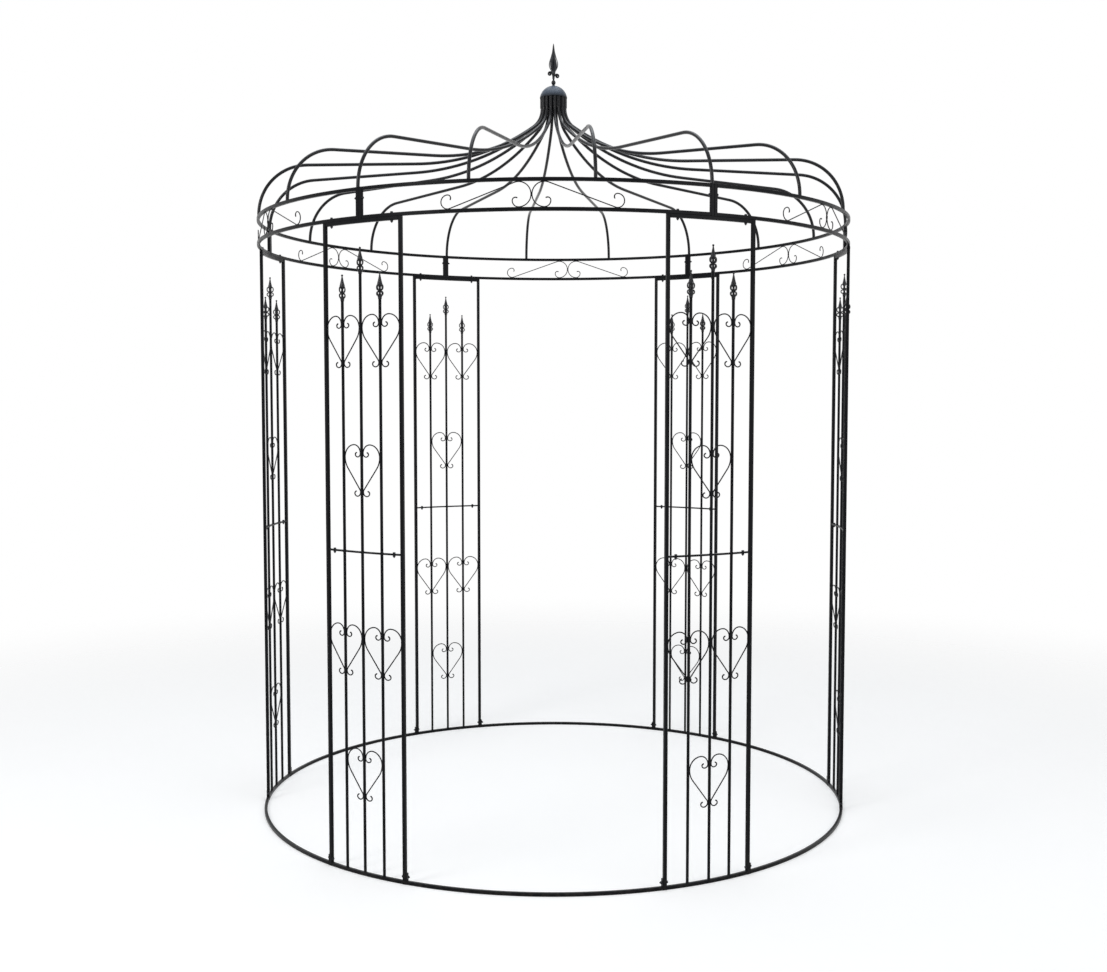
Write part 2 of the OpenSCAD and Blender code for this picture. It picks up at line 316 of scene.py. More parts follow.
@dataclass(frozen=True)
class PowderCoat:
    """Satin powder coat: orange peel, dust and painted sky light on tops, splash near the ground.
    """

    name: str = "satin_powder_coat"
    black: Colour = (0.0030, 0.0033, 0.0044)
    faded: Colour = (0.0056, 0.0061, 0.0080)
    # Pale bluish colour on what looks up: dust, and painted sky light on the tops.
    dust_and_sky_light: DustAndSkyLight = DustAndSkyLight((0.09, 0.095, 0.105), slope=(0.35, 1.0), patch=(0.3, 0.7), least=0.35)
    splash: Colour = (0.070, 0.062, 0.050)
    cloud: float = 0.16
    grit: float = 0.16 / 12
    fade_patch: Band = (0.35, 0.68)
    splash_share: float = 0.16
    splash_top: float = 0.11
    splash_patch: Band = (0.42, 0.62)
    sheen_patch: Band = (0.25, 0.8)
    sheen: Band = (0.26, 0.42)
    gloss: float = 0.09
    roll: Layer = (0.018, 0.00025, 2.0)
    peel: Layer = (0.0013, 0.00007, 1.0)

    def make(self) -> bpy.types.Material:
        """Makes the finish of frames, bars, scrolls and rails.

        Returns:
            The material.
        """
        mix = Recipe(self.name)
        cloud, grit = mix.noise(self.cloud, detail=5.0), mix.noise(self.grit, detail=4.0)
        colour = mix.blend(mix.span(cloud, self.fade_patch), self.black, self.faded)
        # Share of dust and painted sky light on what looks up.
        dust_and_sky_share = self.dust_and_sky_light.dust_and_sky_share(mix, grit)
        colour = mix.blend(dust_and_sky_share, colour, self.dust_and_sky_light.colour)
        height = mix.axis(mix.place, "Z")
        wet = mix.math("MULTIPLY",
                       mix.span(height, (0.0, self.splash_top), (self.splash_share, 0.0)),
                       mix.span(grit, self.splash_patch))
        colour = mix.blend(wet, colour, self.splash)
        rough = mix.span(mix.math("ADD", grit, dust_and_sky_share), self.sheen_patch, self.sheen)
        return mix.surface(Base_Color=colour, Roughness=rough, Specular_IOR_Level=self.gloss,
                           Normal=mix.relief(self.roll, self.peel))


@dataclass(frozen=True)
class RoofGloss:
    """Glossier black of the bent roof bars, whose tops carry the sky, with dust and painted sky
    light.
    """

    name: str = "roof_bar_gloss"
    black: Colour = (0.0036, 0.0039, 0.0052)
    faded: Colour = (0.0076, 0.0083, 0.0106)
    # Pale bluish grey on what looks up: dust, and painted sky light on the tops of the bars.
    dust_and_sky_light: DustAndSkyLight = DustAndSkyLight((0.18, 0.195, 0.22), slope=(0.1, 1.0), patch=(0.25, 0.75), least=0.3)
    streak: float = 0.045
    fade_patch: Band = (0.3, 0.7)
    sheen: Band = (0.20, 0.32)
    gloss: float = 0.16
    coat: float = 0.12
    coat_sheen: float = 0.16
    peel: Layer = (0.0011, 0.00002, 1.0)

    def make(self) -> bpy.types.Material:
        """Makes the finish of the roof bars.

        Returns:
            The material.
        """
        mix = Recipe(self.name)
        streak = mix.noise(self.streak, detail=5.0)
        colour = mix.blend(mix.span(streak, self.fade_patch), self.black, self.faded)
        # Share of dust and painted sky light on the tops.
        dust_and_sky_share = self.dust_and_sky_light.dust_and_sky_share(mix, streak)
        return mix.surface(Base_Color=mix.blend(dust_and_sky_share, colour, self.dust_and_sky_light.colour),
                           Roughness=mix.span(streak, self.fade_patch, self.sheen),
                           Specular_IOR_Level=self.gloss, Coat_Weight=self.coat,
                           Coat_Roughness=self.coat_sheen, Normal=mix.relief(self.peel))


@dataclass(frozen=True)
class CapEnamel:
    """Black drawn-sheet enamel of the dome under a clear coat, with a painted slate-blue sky
    reflection on what looks up and near-black upright sockets.
    """

    name: str = "enamel_painted_sky"
    # Painted sky reflection: slate blue and a paler tone of it, on what looks up.
    painted_sky_slate: Colour = (0.046, 0.062, 0.086)
    pale: Colour = (0.082, 0.102, 0.134)
    shade: Colour = (0.0036, 0.0039, 0.0054)
    cloud: float = 0.05
    patch: Band = (0.3, 0.7)
    shade_slope: Band = (0.02, 0.45)
    sheen: Band = (0.34, 0.44)
    gloss: float = 0.14
    coat: float = 0.08
    coat_sheen: float = 0.2
    ripple: Layer = (0.030, 0.0006, 2.0)
    peel: Layer = (0.0013, 0.00003, 1.0)

    def make(self) -> bpy.types.Material:
        """Makes the finish of the roof cap.

        Returns:
            The material.
        """
        mix = Recipe(self.name)
        cloud = mix.noise(self.cloud, detail=5.0)
        colour = mix.blend(mix.span(cloud, self.patch), self.painted_sky_slate, self.pale)
        # Painted sky reflection on faces that look up, near-black on upright faces such as the
        # sockets.
        shaded = mix.span(mix.facing(), self.shade_slope, (1.0, 0.0))
        return mix.surface(Base_Color=mix.blend(shaded, colour, self.shade),
                           Roughness=mix.span(cloud, self.patch, self.sheen),
                           Specular_IOR_Level=self.gloss, Coat_Weight=self.coat,
                           Coat_Roughness=self.coat_sheen,
                           Normal=mix.relief(self.ripple, self.peel))


@dataclass(frozen=True)
class CastBlack:
    """Sand-cast black iron: coarse skin and rubbed patches at random."""

    name: str = "cast_black"
    black: Colour = (0.0038, 0.0040, 0.0060)
    rubbed: Colour = (0.018, 0.0195, 0.028)
    cloud: float = 0.012
    rubbed_patch: Band = (0.45, 0.75)
    sheen_patch: Band = (0.3, 0.7)
    sheen: Band = (0.26, 0.46)
    gloss: float = 0.30
    sand_grain: float = 0.0022
    sand_depth: float = 0.00022

    def make(self) -> bpy.types.Material:
        """Makes the finish of cast points.

        Returns:
            The material.
        """
        mix = Recipe(self.name)
        sand = mix.noise(self.sand_grain, detail=4.0)
        rubbed = mix.span(mix.noise(self.cloud, detail=4.0), self.rubbed_patch)
        return mix.surface(Base_Color=mix.blend(rubbed, self.black, self.rubbed),
                           Roughness=mix.span(sand, self.sheen_patch, self.sheen),
                           Specular_IOR_Level=self.gloss, Normal=mix.bump(sand, self.sand_depth))


@dataclass(frozen=True)
class BlackZinc:
    """Black-plated steel of the bolts, with bright wear in scattered patches."""

    name: str = "black_zinc"
    plate: Colour = (0.022, 0.023, 0.027)
    bright: Colour = (0.13, 0.13, 0.14)
    metal: float = 0.7
    wear_patch: Band = (0.56, 0.72)
    wear_share: float = 0.7
    sheen_patch: Band = (0.3, 0.7)
    sheen: Band = (0.38, 0.52)
    scratch_grain: float = 0.0016
    scratch_depth: float = 0.00004

    def make(self) -> bpy.types.Material:
        """Makes the finish of bolts, nuts and washers.

        Returns:
            The material.
        """
        mix = Recipe(self.name)
        scratch = mix.noise(self.scratch_grain, detail=5.0)
        worn = mix.span(scratch, self.wear_patch, (0.0, self.wear_share))
        return mix.surface(Base_Color=mix.blend(worn, self.plate, self.bright),
                           Metallic=self.metal,
                           Roughness=mix.span(scratch, self.sheen_patch, self.sheen),
                           Normal=mix.bump(scratch, self.scratch_depth))


# ---- Mesh stock -----------------------------------------------------------------------------
@dataclass
class Stock:
    """Points and faces of one piece, gathered before it becomes an object."""

    points: list[Vector] = field(default_factory=list)
    faces: list[tuple[int, ...]] = field(default_factory=list)
    straight: float = 1e-6
    steep: float = 0.8

    def skin(self, rings: list[list[Vector]], joined: bool = False) -> None:
        """Skins a row of rings with quads.

        Args:
            rings: Closed rings with the same number of points.
            joined: True where the last ring meets the first, else both ends are capped.
        """
        start, size = len(self.points), len(rings[0])
        for ring in rings:
            self.points.extend(ring)
        for row in range(len(rings) if joined else len(rings) - 1):
            low = start + row * size
            high = start + (row + 1) % len(rings) * size
            for i in range(size):
                j = (i + 1) % size
                self.faces.append((low + i, low + j, high + j, high + i))
        if not joined:
            end = start + (len(rings) - 1) * size
            self.faces.append(tuple(range(start + size - 1, start - 1, -1)))
            self.faces.append(tuple(range(end, end + size)))

    def lathe(self, place: Matrix, profile: Profile, sides: int, flutes: int = 0,
              flute: float = 0.0) -> None:
        """Turns a profile round the local Z axis.

        Args:
            place: Where the axis stands.
            profile: Radius and height of each ring, from foot to top.
            sides: Points in a ring.
            flutes: Number of shallow flutes round the piece.
            flute: Depth of a flute as a share of the radius.
        """
        self.skin([[place @ polar(radius * (1 + flute * math.cos(flutes * a)), a, z)
                    for a in circle(sides)] for radius, z in profile])

    def ball(self, place: Matrix, radius: float, rows: Sequence[float], sides: int) -> None:
        """Turns a ball, with a ring at each of these angles from its lowest point."""
        self.lathe(place, [(radius * math.sin(a), -radius * math.cos(a)) for a in rows], sides)

    def sweep(self, path: list[Vector], radii: list[float], sides: int,
              joined: bool = False, flat: float = 1.0) -> None:
        """Sweeps a round or flattened section along a path.

        Args:
            path: Points on the middle line.
            radii: Radius at each point.
            sides: Points round the section.
            joined: True for a closed loop.
            flat: Thickness across the path's plane as a share of the width in it.
        """
        last = len(path) - 1
        if joined:
            tangents = [(path[(i + 1) % (last + 1)] - path[i - 1]).normalized()
                        for i in range(last + 1)]
        else:
            tangents = [(path[min(i + 1, last)] - path[max(i - 1, 0)]).normalized()
                        for i in range(last + 1)]
        side = self.plane_normal(tangents)
        rings = []
        for at, along, radius in zip(path, tangents, radii):
            across = side.cross(along).normalized()
            upright = along.cross(across)
            rings.append([at + across * (radius * math.cos(a))
                          + upright * (flat * radius * math.sin(a)) for a in circle(sides)])
        self.skin(rings, joined)

    def plane_normal(self, tangents: list[Vector]) -> Vector:
        """Normal of the plane in which a path bends.

        Args:
            tangents: Directions along the path.

        Returns:
            A unit vector, also for a straight path.
        """
        total = Vector((0, 0, 0))
        for first, second in zip(tangents, tangents[1:]):
            total += first.cross(second)
        if total.length < self.straight:
            helper = (1, 0, 0) if abs(tangents[0].x) < self.steep else (0, 1, 0)
            total = tangents[0].cross(Vector(helper))
        return total.normalized()

    def make(self, name: str, finish: bpy.types.Material, slot: Slot,
             crease: float = 40.0, flat_faces: bool = False) -> bpy.types.Object:
        """Turns the stock into an object that rides on the pavilion.

        Args:
            name: Name of the piece.
            finish: Its material.
            slot: Slot of the record that the finish belongs to; not used.
            crease: Angle above which an edge stays sharp, in degrees.
            flat_faces: True where broad flat faces meet rounded corners.

        Returns:
            The new object.
        """
        work = bmesh.new()
        verts = [work.verts.new(p) for p in self.points]
        for face in self.faces:
            work.faces.new([verts[i] for i in face])
        bmesh.ops.recalc_face_normals(work, faces=work.faces)
        mesh = bpy.data.meshes.new(name)
        work.to_mesh(mesh)
        work.free()
        mesh.shade_smooth()
        mesh.set_sharp_from_angle(angle=math.radians(crease))
        mesh.materials.append(finish)
        piece = put(name, mesh)
        if flat_faces:
            piece.modifiers.new("flat_faces", "WEIGHTED_NORMAL").keep_sharp = True
        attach(piece, "root")
        return piece


# ---- Shared sizes ---------------------------------------------------------------------------
@dataclass(frozen=True)
class Ring:
    """The circle on which everything stands, with the sizes that its pieces share."""

    radius: float = 1.157
    bays: int = 6
    panel_h: float = 1.1
    half_panel: float = 0.164
    beam_h: float = 0.105
    tube: float = 0.012
    rail_depth: float = 0.011
    strip: float = 0.003
    tab: float = 0.004
    gap: float = 0.0003
    bar_d: float = 0.010
    heart_wire: float = 0.0042
    beam_wire: float = 0.0037
    spear_h: float = 0.088
    # From a panel's top down to the spear's tip, on the middle bar and on the outer ones.
    tip_drop: tuple[float, float] = (0.089, 0.175)
    # How far a scroll sinks into what it is welded to, and a round bar into its end piece.
    weld: float = 0.0008
    lap: float = 0.001

    def angle_of(self, chord: float) -> float:
        """Angle from the middle of a panel to a point that far out, in radians."""
        return math.asin(chord / self.radius)

    @property
    def head_z(self) -> float:
        """Height at which the beams lie on the columns."""
        return 2 * self.panel_h

    @property
    def bay(self) -> float:
        """Angle from column to column, in radians."""
        return math.tau / self.bays

    @property
    def pitch(self) -> float:
        """Angle from bar to bar, in radians."""
        return self.angle_of(self.half_panel) / 2

    @property
    def step(self) -> float:
        """Straight distance from bar to bar."""
        return 2 * self.radius * math.sin(self.pitch / 2)

    def column(self, number: int) -> float:
        """Angle of a column's middle."""
        return self.bay * (number - 0.5)

    def beam(self, number: int) -> float:
        """Angle of a beam's or ground rail's middle."""
        return self.bay * (number - 1)

    def spear_foot(self, top: float, bar: int) -> float:
        """Height at which a spear sits on its bar, below the top of its panel."""
        return top - self.tip_drop[abs(bar)] - self.spear_h

    def at(self, angle: float, z: float) -> Matrix:
        """Frame on the ring: X along it to the right seen from outside, Y inwards, Z up."""
        return Matrix.Rotation(angle, 4, "Z") @ Matrix.Translation((0, -self.radius, z))

    def arc_point(self, middle: float, x: float, out: float, z: float) -> Vector:
        """Point of a piece that was drawn flat and follows the ring.

        Args:
            middle: Angle of the piece's middle.
            x: Distance from the middle, measured on the flat drawing.
            out: Distance outside the ring's middle line.
            z: Height.

        Returns:
            The point.
        """
        reach = self.radius + out
        flat = Vector((x, -math.sqrt(reach * reach - x * x), z))
        return Matrix.Rotation(middle, 4, "Z") @ flat


# ---- Bolts ----------------------------------------------------------------------------------
@dataclass(frozen=True)
class HexBolt:
    """Hexagon bolt with two washers, a nut and a few turns of thread beyond it."""

    thread: float = 0.005
    thread_depth: float = 0.0005
    pitch: float = 0.0008
    tail: float = 0.003
    tip_ease: float = 0.0006
    flats: float = 0.008
    head: float = 0.0035
    nut: float = 0.004
    # Share of the width that stays flat, and depths of the rows on the turned corners.
    crown: float = 0.96
    crown_rows: tuple[float, ...] = (0.0, 0.0002, 0.0004, 0.0007)
    washer_d: float = 0.010
    washer_t: float = 0.001
    washer_ease: float = 0.0002
    sides: int = 36
    washer_sides: int = 28
    thread_sides: int = 16

    def hexagon(self, stock: Stock, place: Matrix, foot: float, top: float,
                both: bool) -> None:
        """Adds a six-sided body whose corners are turned off.

        Args:
            stock: Mesh to add it to.
            place: Frame of the bolt.
            foot: Lower face.
            top: Upper face.
            both: True where the lower corners are turned off too.
        """
        half, sixth = self.flats / 2, math.tau / 6
        rows = [(foot + s, s) for s in self.crown_rows] if both else [(foot, self.flats)]
        rows += [(top - s, s) for s in reversed(self.crown_rows)]
        rings = []
        for z, depth in rows:
            turned = half * self.crown + depth * math.tan(sixth)
            rings.append([place @ polar(
                min(half / math.cos((a + sixth / 2) % sixth - sixth / 2), turned), a, z)
                for a in circle(self.sides)])
        stock.skin(rings)

    def washer(self, stock: Stock, place: Matrix, foot: float) -> None:
        """Adds a washer with eased edges, its lower face at foot."""
        r, t, ease = self.washer_d / 2, self.washer_t, self.washer_ease
        stock.lathe(place, [(r - ease, foot), (r, foot + ease), (r, foot + t - ease),
                            (r - ease, foot + t)], self.washer_sides)

    def add(self, stock: Stock, place: Matrix, grip: float) -> None:
        """Adds one bolt.

        Args:
            stock: Mesh to add it to.
            place: Frame with its origin on the face under the head and Z out of that face.
            grip: Thickness that the bolt clamps.
        """
        self.washer(stock, place, 0.0)
        self.hexagon(stock, place, self.washer_t, self.washer_t + self.head, False)
        under = -grip - self.washer_t
        foot = under - self.nut
        self.washer(stock, place, under)
        self.hexagon(stock, place, foot, under, True)
        end = foot - self.tail
        r, root = self.thread / 2, self.thread / 2 - self.thread_depth
        profile = [(root - self.tip_ease, end)]
        for turn in range(int(self.tail / self.pitch)):
            z = end + self.pitch * (turn + 0.5)
            profile += [(r, z), (root, z + self.pitch / 2)]
        profile += [(r, foot + self.thread_depth), (r, self.washer_t)]
        stock.lathe(place, profile, self.thread_sides)


@dataclass(frozen=True)
class Fixings:
    ring: Ring
    finish: bpy.types.Material
    bolt: HexBolt = HexBolt()
    rail_x: float = 0.131
    post_share: float = 0.66
    foot_z: float = 0.025

    def pair(self, stock: Stock, middle: float, z: float, grip: float) -> None:
        """Adds two upright bolts between the outer bars and the uprights.

        Args:
            stock: Mesh to add them to.
            middle: Angle of the column's middle.
            z: Height of the face under their heads.
            grip: Thickness that they clamp.
        """
        for side in (-1, 1):
            angle = middle + side * self.ring.angle_of(self.rail_x)
            self.bolt.add(stock, self.ring.at(angle, z), grip)

    def make(self, number: int) -> bpy.types.Object:
        """Bolts of one column: half-way joint, head joint, neighbouring beams and feet.

        Args:
            number: Number of the column.

        Returns:
            The bolts as one object.
        """
        ring, stock = self.ring, Stock()
        middle = ring.column(number)
        self.pair(stock, middle, ring.panel_h + ring.strip, 2 * ring.strip)
        self.pair(stock, middle, ring.head_z + ring.tube, 2 * ring.tube)
        post_z = ring.head_z + self.post_share * ring.beam_h
        side_face = ring.tube + ring.gap / 2
        place = ring.at(middle, post_z) @ Matrix.Translation((side_face, 0, 0))
        self.bolt.add(stock, place @ Run.LEFT.turned(), 2 * side_face)
        for side, run in ((-1, Run.LEFT), (1, Run.RIGHT)):
            upright = ring.at(middle + side * ring.angle_of(ring.half_panel), self.foot_z)
            inner = Matrix.Translation((-side * ring.tube / 2, 0, 0))
            grip = ring.tube + ring.gap + ring.tab
            self.bolt.add(stock, upright @ inner @ run.turned(), grip)
        return stock.make(f"bolts_column_{number}", self.finish, Slot.COAT)


# ---- Weld beads -----------------------------------------------------------------------------
@dataclass(frozen=True)
class Torch:
    """Lays small rippled beads of weld metal."""

    size: float = 0.0015
    fine: float = 0.0011
    ripple: float = 0.16
    step: float = 0.0011
    least_steps: int = 5
    thin: float = 0.12
    round_share: float = 0.8
    round_steps: int = 22
    sides: int = 6

    def wave(self, i: int) -> float:
        """Swell of a bead at one of its points."""
        return 1 + self.ripple * (1 if i % 2 else -1)

    def line(self, stock: Stock, start: Vector, end: Vector, size: float | None = None) -> None:
        """Lays a bead along a short line, thin at both ends.

        Args:
            stock: Mesh to add it to.
            start: One end.
            end: Other end.
            size: Radius of the bead, else the torch's own.
        """
        radius = size or self.size
        count = max(self.least_steps, round((end - start).length / self.step))
        path, radii = [], []
        for i in range(count + 1):
            t = i / count
            swell = math.sqrt(max(0.0, 1 - (2 * t - 1) ** 4)) + self.thin
            path.append(start.lerp(end, t))
            radii.append(radius * swell * self.wave(i))
        stock.sweep(path, radii, self.sides)

    def round(self, stock: Stock, place: Matrix, radius: float) -> None:
        """Lays a closed bead round a bar.

        Args:
            stock: Mesh to add it to.
            place: Frame whose Z axis is the bar's.
            radius: Radius of the ring that the bead follows.
        """
        path = [place @ polar(radius, a) for a in circle(self.round_steps)]
        radii = [self.size * self.round_share * self.wave(i) for i in range(self.round_steps)]
        stock.sweep(path, radii, self.sides, joined=True)

    def seam(self, stock: Stock, place: Matrix, end: tuple[float, float], span: Band,
             levels: tuple[float, ...] = ()) -> None:
        """Lays the fine beads where a rail's end meets what it is welded to.

        Args:
            stock: Mesh to add them to.
            place: Frame whose X axis runs along the rail.
            end: Where the rail ends, and half its depth.
            span: Foot and top of the beads on its two faces.
            levels: Heights of the beads across it.
        """
        x, y = end
        low, high = span
        for face in (-1, 1):
            self.line(stock, place @ Vector((x, face * y, low)),
                      place @ Vector((x, face * y, high)), self.fine)
        for z in levels:
            self.line(stock, place @ Vector((x, -y, z)), place @ Vector((x, y, z)), self.fine)


# ---- Wrought frames and scrolls -------------------------------------------------------------
@dataclass(frozen=True)
class Wire:
    """Round wire bent flat into arcs and straights, each tangent to the one before."""

    across: float
    step: float = math.radians(7.5)
    least_steps: int = 2
    forged: float = 0.014
    swell: float = 0.22
    # Shares of the radius on the rounded ends, from the tip inwards.
    nose: tuple[float, ...] = (0.55, 0.9)
    sides: int = 10

    def trace(self, start: tuple[float, float], heading: float,
              moves: list[tuple[float, float]]) -> list[tuple[float, float]]:
        """Follows a row of moves.

        Args:
            start: Where it starts, sideways and upwards.
            heading: Direction at the start, in radians from the X axis.
            moves: Radius and turn of each arc, to the left where the turn is positive, or
                length and zero for a straight.

        Returns:
            The points passed.
        """
        x, z = start
        points = [start]
        for size, turn in moves:
            if turn == 0:
                x, z = x + size * math.cos(heading), z + size * math.sin(heading)
                points.append((x, z))
                continue
            hand = math.copysign(1, turn)
            middle = (x - hand * size * math.sin(heading), z + hand * size * math.cos(heading))
            count = max(self.least_steps, math.ceil(abs(turn) / self.step))
            for i in range(1, count + 1):
                a = heading + turn * i / count
                x = middle[0] + hand * size * math.sin(a)
                z = middle[1] - hand * size * math.cos(a)
                points.append((x, z))
            heading += turn
        return points

    def bend(self, stock: Stock, path: list[Vector]) -> None:
        """Sweeps the wire along a path, forged thicker towards its rounded ends.

        Args:
            stock: Mesh to add it to.
            path: Points on the wire's middle line.
        """
        places = [0.0]
        for first, second in zip(path, path[1:]):
            places.append(places[-1] + (second - first).length)
        radii = []
        for i, place in enumerate(places):
            end = min(place, places[-1] - place)
            radius = self.across / 2 * (1 + self.swell * max(0.0, 1 - end / self.forged))
            steps = min(i, len(places) - 1 - i)
            radii.append(radius * (self.nose[steps] if steps < len(self.nose) else 1.0))
        stock.sweep(path, radii, self.sides)


@dataclass(frozen=True)
class HeartScroll:
    """Heart of two mirrored wires that curl in the cleft and again below the point."""

    ring: Ring
    height: float = 0.160
    crest_share: float = 0.4
    flank_r: float = 0.060
    # Radii of the curls in the cleft and below the point: where they open and at their ends.
    hook: tuple[float, float] = (0.012, 0.0065)
    tail: tuple[float, float] = (0.014, 0.0075)
    open_turn: float = math.radians(45)
    curl_turn: float = math.radians(140)
    bead: float = 0.009

    @property
    def near(self) -> float:
        """Distance of the wire's middle line from its own bar's, where they touch."""
        return (self.ring.bar_d + self.ring.heart_wire) / 2 - self.ring.weld

    @property
    def far(self) -> float:
        """Distance of the wire's middle line from its own bar's, where it touches the next."""
        return self.ring.step - self.near

    @property
    def lobe(self) -> tuple[float, float]:
        """Width of the lobe on the inner and on the outer side of its crest."""
        inner = self.crest_share * (self.far - self.near)
        return inner, self.far - self.near - inner

    def half(self, wire: Wire) -> list[tuple[float, float]]:
        """Draws one half, from the curl in the cleft to the curl below the point.

        Args:
            wire: Wire that it is bent from.

        Returns:
            Points sideways from the heart's own bar and upwards from its top.
        """
        right = math.pi / 2
        inner, outer = self.lobe
        top = -self.ring.heart_wire / 2
        hook = wire.trace((self.near, top - inner - self.ring.weld), -right, [
            (self.hook[0], right + self.open_turn), (self.hook[1], self.curl_turn)])
        flank = (self.far - self.flank_r, top - outer)
        turn_point = (self.near + self.tail[0], -self.height)
        span, reach = math.dist(flank, turn_point), self.flank_r + self.tail[0]
        lean = (math.atan2(turn_point[1] - flank[1], turn_point[0] - flank[0])
                - math.asin(reach / span))
        body = wire.trace((self.near, top - inner), right, [
            (inner, -right), (outer, -right), (self.flank_r, lean + right),
            (math.sqrt(span * span - reach * reach), 0),
            (self.tail[0], self.open_turn - lean), (self.tail[1], self.curl_turn)])
        return hook[::-1] + body

    def stands(self, middle: float, bar: int, z: float) -> list[tuple[int, Matrix]]:
        """Side and frame of both halves, each along the straight line to the next bar.

        Args:
            middle: Angle of the panel's middle.
            bar: Number of the bar in the heart's middle, 0 for the centre.
            z: Height of the frames.

        Returns:
            The pair, left half first.
        """
        place = self.ring.at(middle + bar * self.ring.pitch, z)
        return [(side, place @ Matrix.Rotation(side * self.ring.pitch / 2, 4, "Z"))
                for side in (-1, 1)]

    def add(self, stock: Stock, middle: float, bar: int, z: float) -> None:
        """Adds one heart.

        Args:
            stock: Mesh to add it to.
            middle: Angle of the panel's middle.
            bar: Number of the bar in the heart's middle, 0 for the centre.
            z: Height of the heart's top.
        """
        wire = Wire(self.ring.heart_wire)
        for side, stand in self.stands(middle, bar, z):
            wire.bend(stock, [stand @ Vector((side * x, 0, rise)) for x, rise in self.half(wire)])

    def weld(self, stock: Stock, torch: Torch, middle: float, bar: int, z: float) -> None:
        """Adds the beads where one heart touches the bars beside it.

        Args:
            stock: Mesh to add them to.
            torch: Torch that lays them.
            middle: Angle of the panel's middle.
            bar: Number of the bar in the heart's middle, 0 for the centre.
            z: Height of the heart's top.
        """
        ring, reach = self.ring, Vector((0, 0, self.bead / 2))
        half_wire = ring.heart_wire / 2
        inner, outer = self.lobe
        crevice = math.sqrt((ring.bar_d / 2) ** 2 - half_wire ** 2)
        for side, stand in self.stands(middle, bar, 0.0):
            beside = ring.step - (ring.tube / 2 if abs(bar + side) > 1 else crevice)
            for face in (-1, 1):
                for x, foot in ((crevice, z - half_wire - inner), (beside, z - half_wire - outer),
                                (crevice, z - self.height)):
                    spot = Vector((side * x, face * half_wire, foot))
                    torch.line(stock, stand @ (spot - reach), stand @ (spot + reach))


@dataclass(frozen=True)
class Frame:
    """Square uprights and the rails or strips that are bent to the ring between them."""

    ring: Ring
    ease: float = 0.0012
    corner_steps: int = 3
    bite: float = 0.004
    rail_step: float = math.radians(1.2)

    def section(self, width: float, height: float) -> list[tuple[float, float]]:
        """Outline of a tube or strip with rounded corners.

        Args:
            width: Full width.
            height: Full height.

        Returns:
            Points round the outline.
        """
        r = min(self.ease, width / 4, height / 4)
        points = []
        for quarter, (right, up) in enumerate(((1, 1), (-1, 1), (-1, -1), (1, -1))):
            for i in range(self.corner_steps + 1):
                a = (quarter + i / self.corner_steps) * math.pi / 2
                points.append((right * (width / 2 - r) + r * math.cos(a),
                               up * (height / 2 - r) + r * math.sin(a)))
        return points

    def upright(self, stock: Stock, angle: float, foot: float, top: float) -> None:
        """Adds one square upright.

        Args:
            stock: Mesh to add it to.
            angle: Its angle on the ring.
            foot: Height of its lower end.
            top: Height of its upper end.
        """
        place = self.ring.at(angle, 0.0)
        outline = self.section(self.ring.tube, self.ring.tube)
        stock.skin([[place @ Vector((x, y, z)) for x, y in outline] for z in (foot, top)])

    def rail(self, stock: Stock, middle: float, half: float, foot: float,
             height: float) -> None:
        """Adds one rail or strip, whose ends enter the uprights.

        Args:
            stock: Mesh to add it to.
            middle: Angle of its middle.
            half: Angle from there to the middle of an upright.
            foot: Height of its lower face.
            height: Distance to its upper face.
        """
        outline = self.section(self.ring.rail_depth, height)
        reach = half - self.ring.angle_of(self.ring.tube / 2 - self.bite)
        count = math.ceil(2 * reach / self.rail_step)
        rings = []
        for i in range(count + 1):
            place = self.ring.at(middle + reach * (2 * i / count - 1), foot + height / 2)
            rings.append([place @ Vector((0, y, z)) for y, z in outline])
        stock.skin(rings)


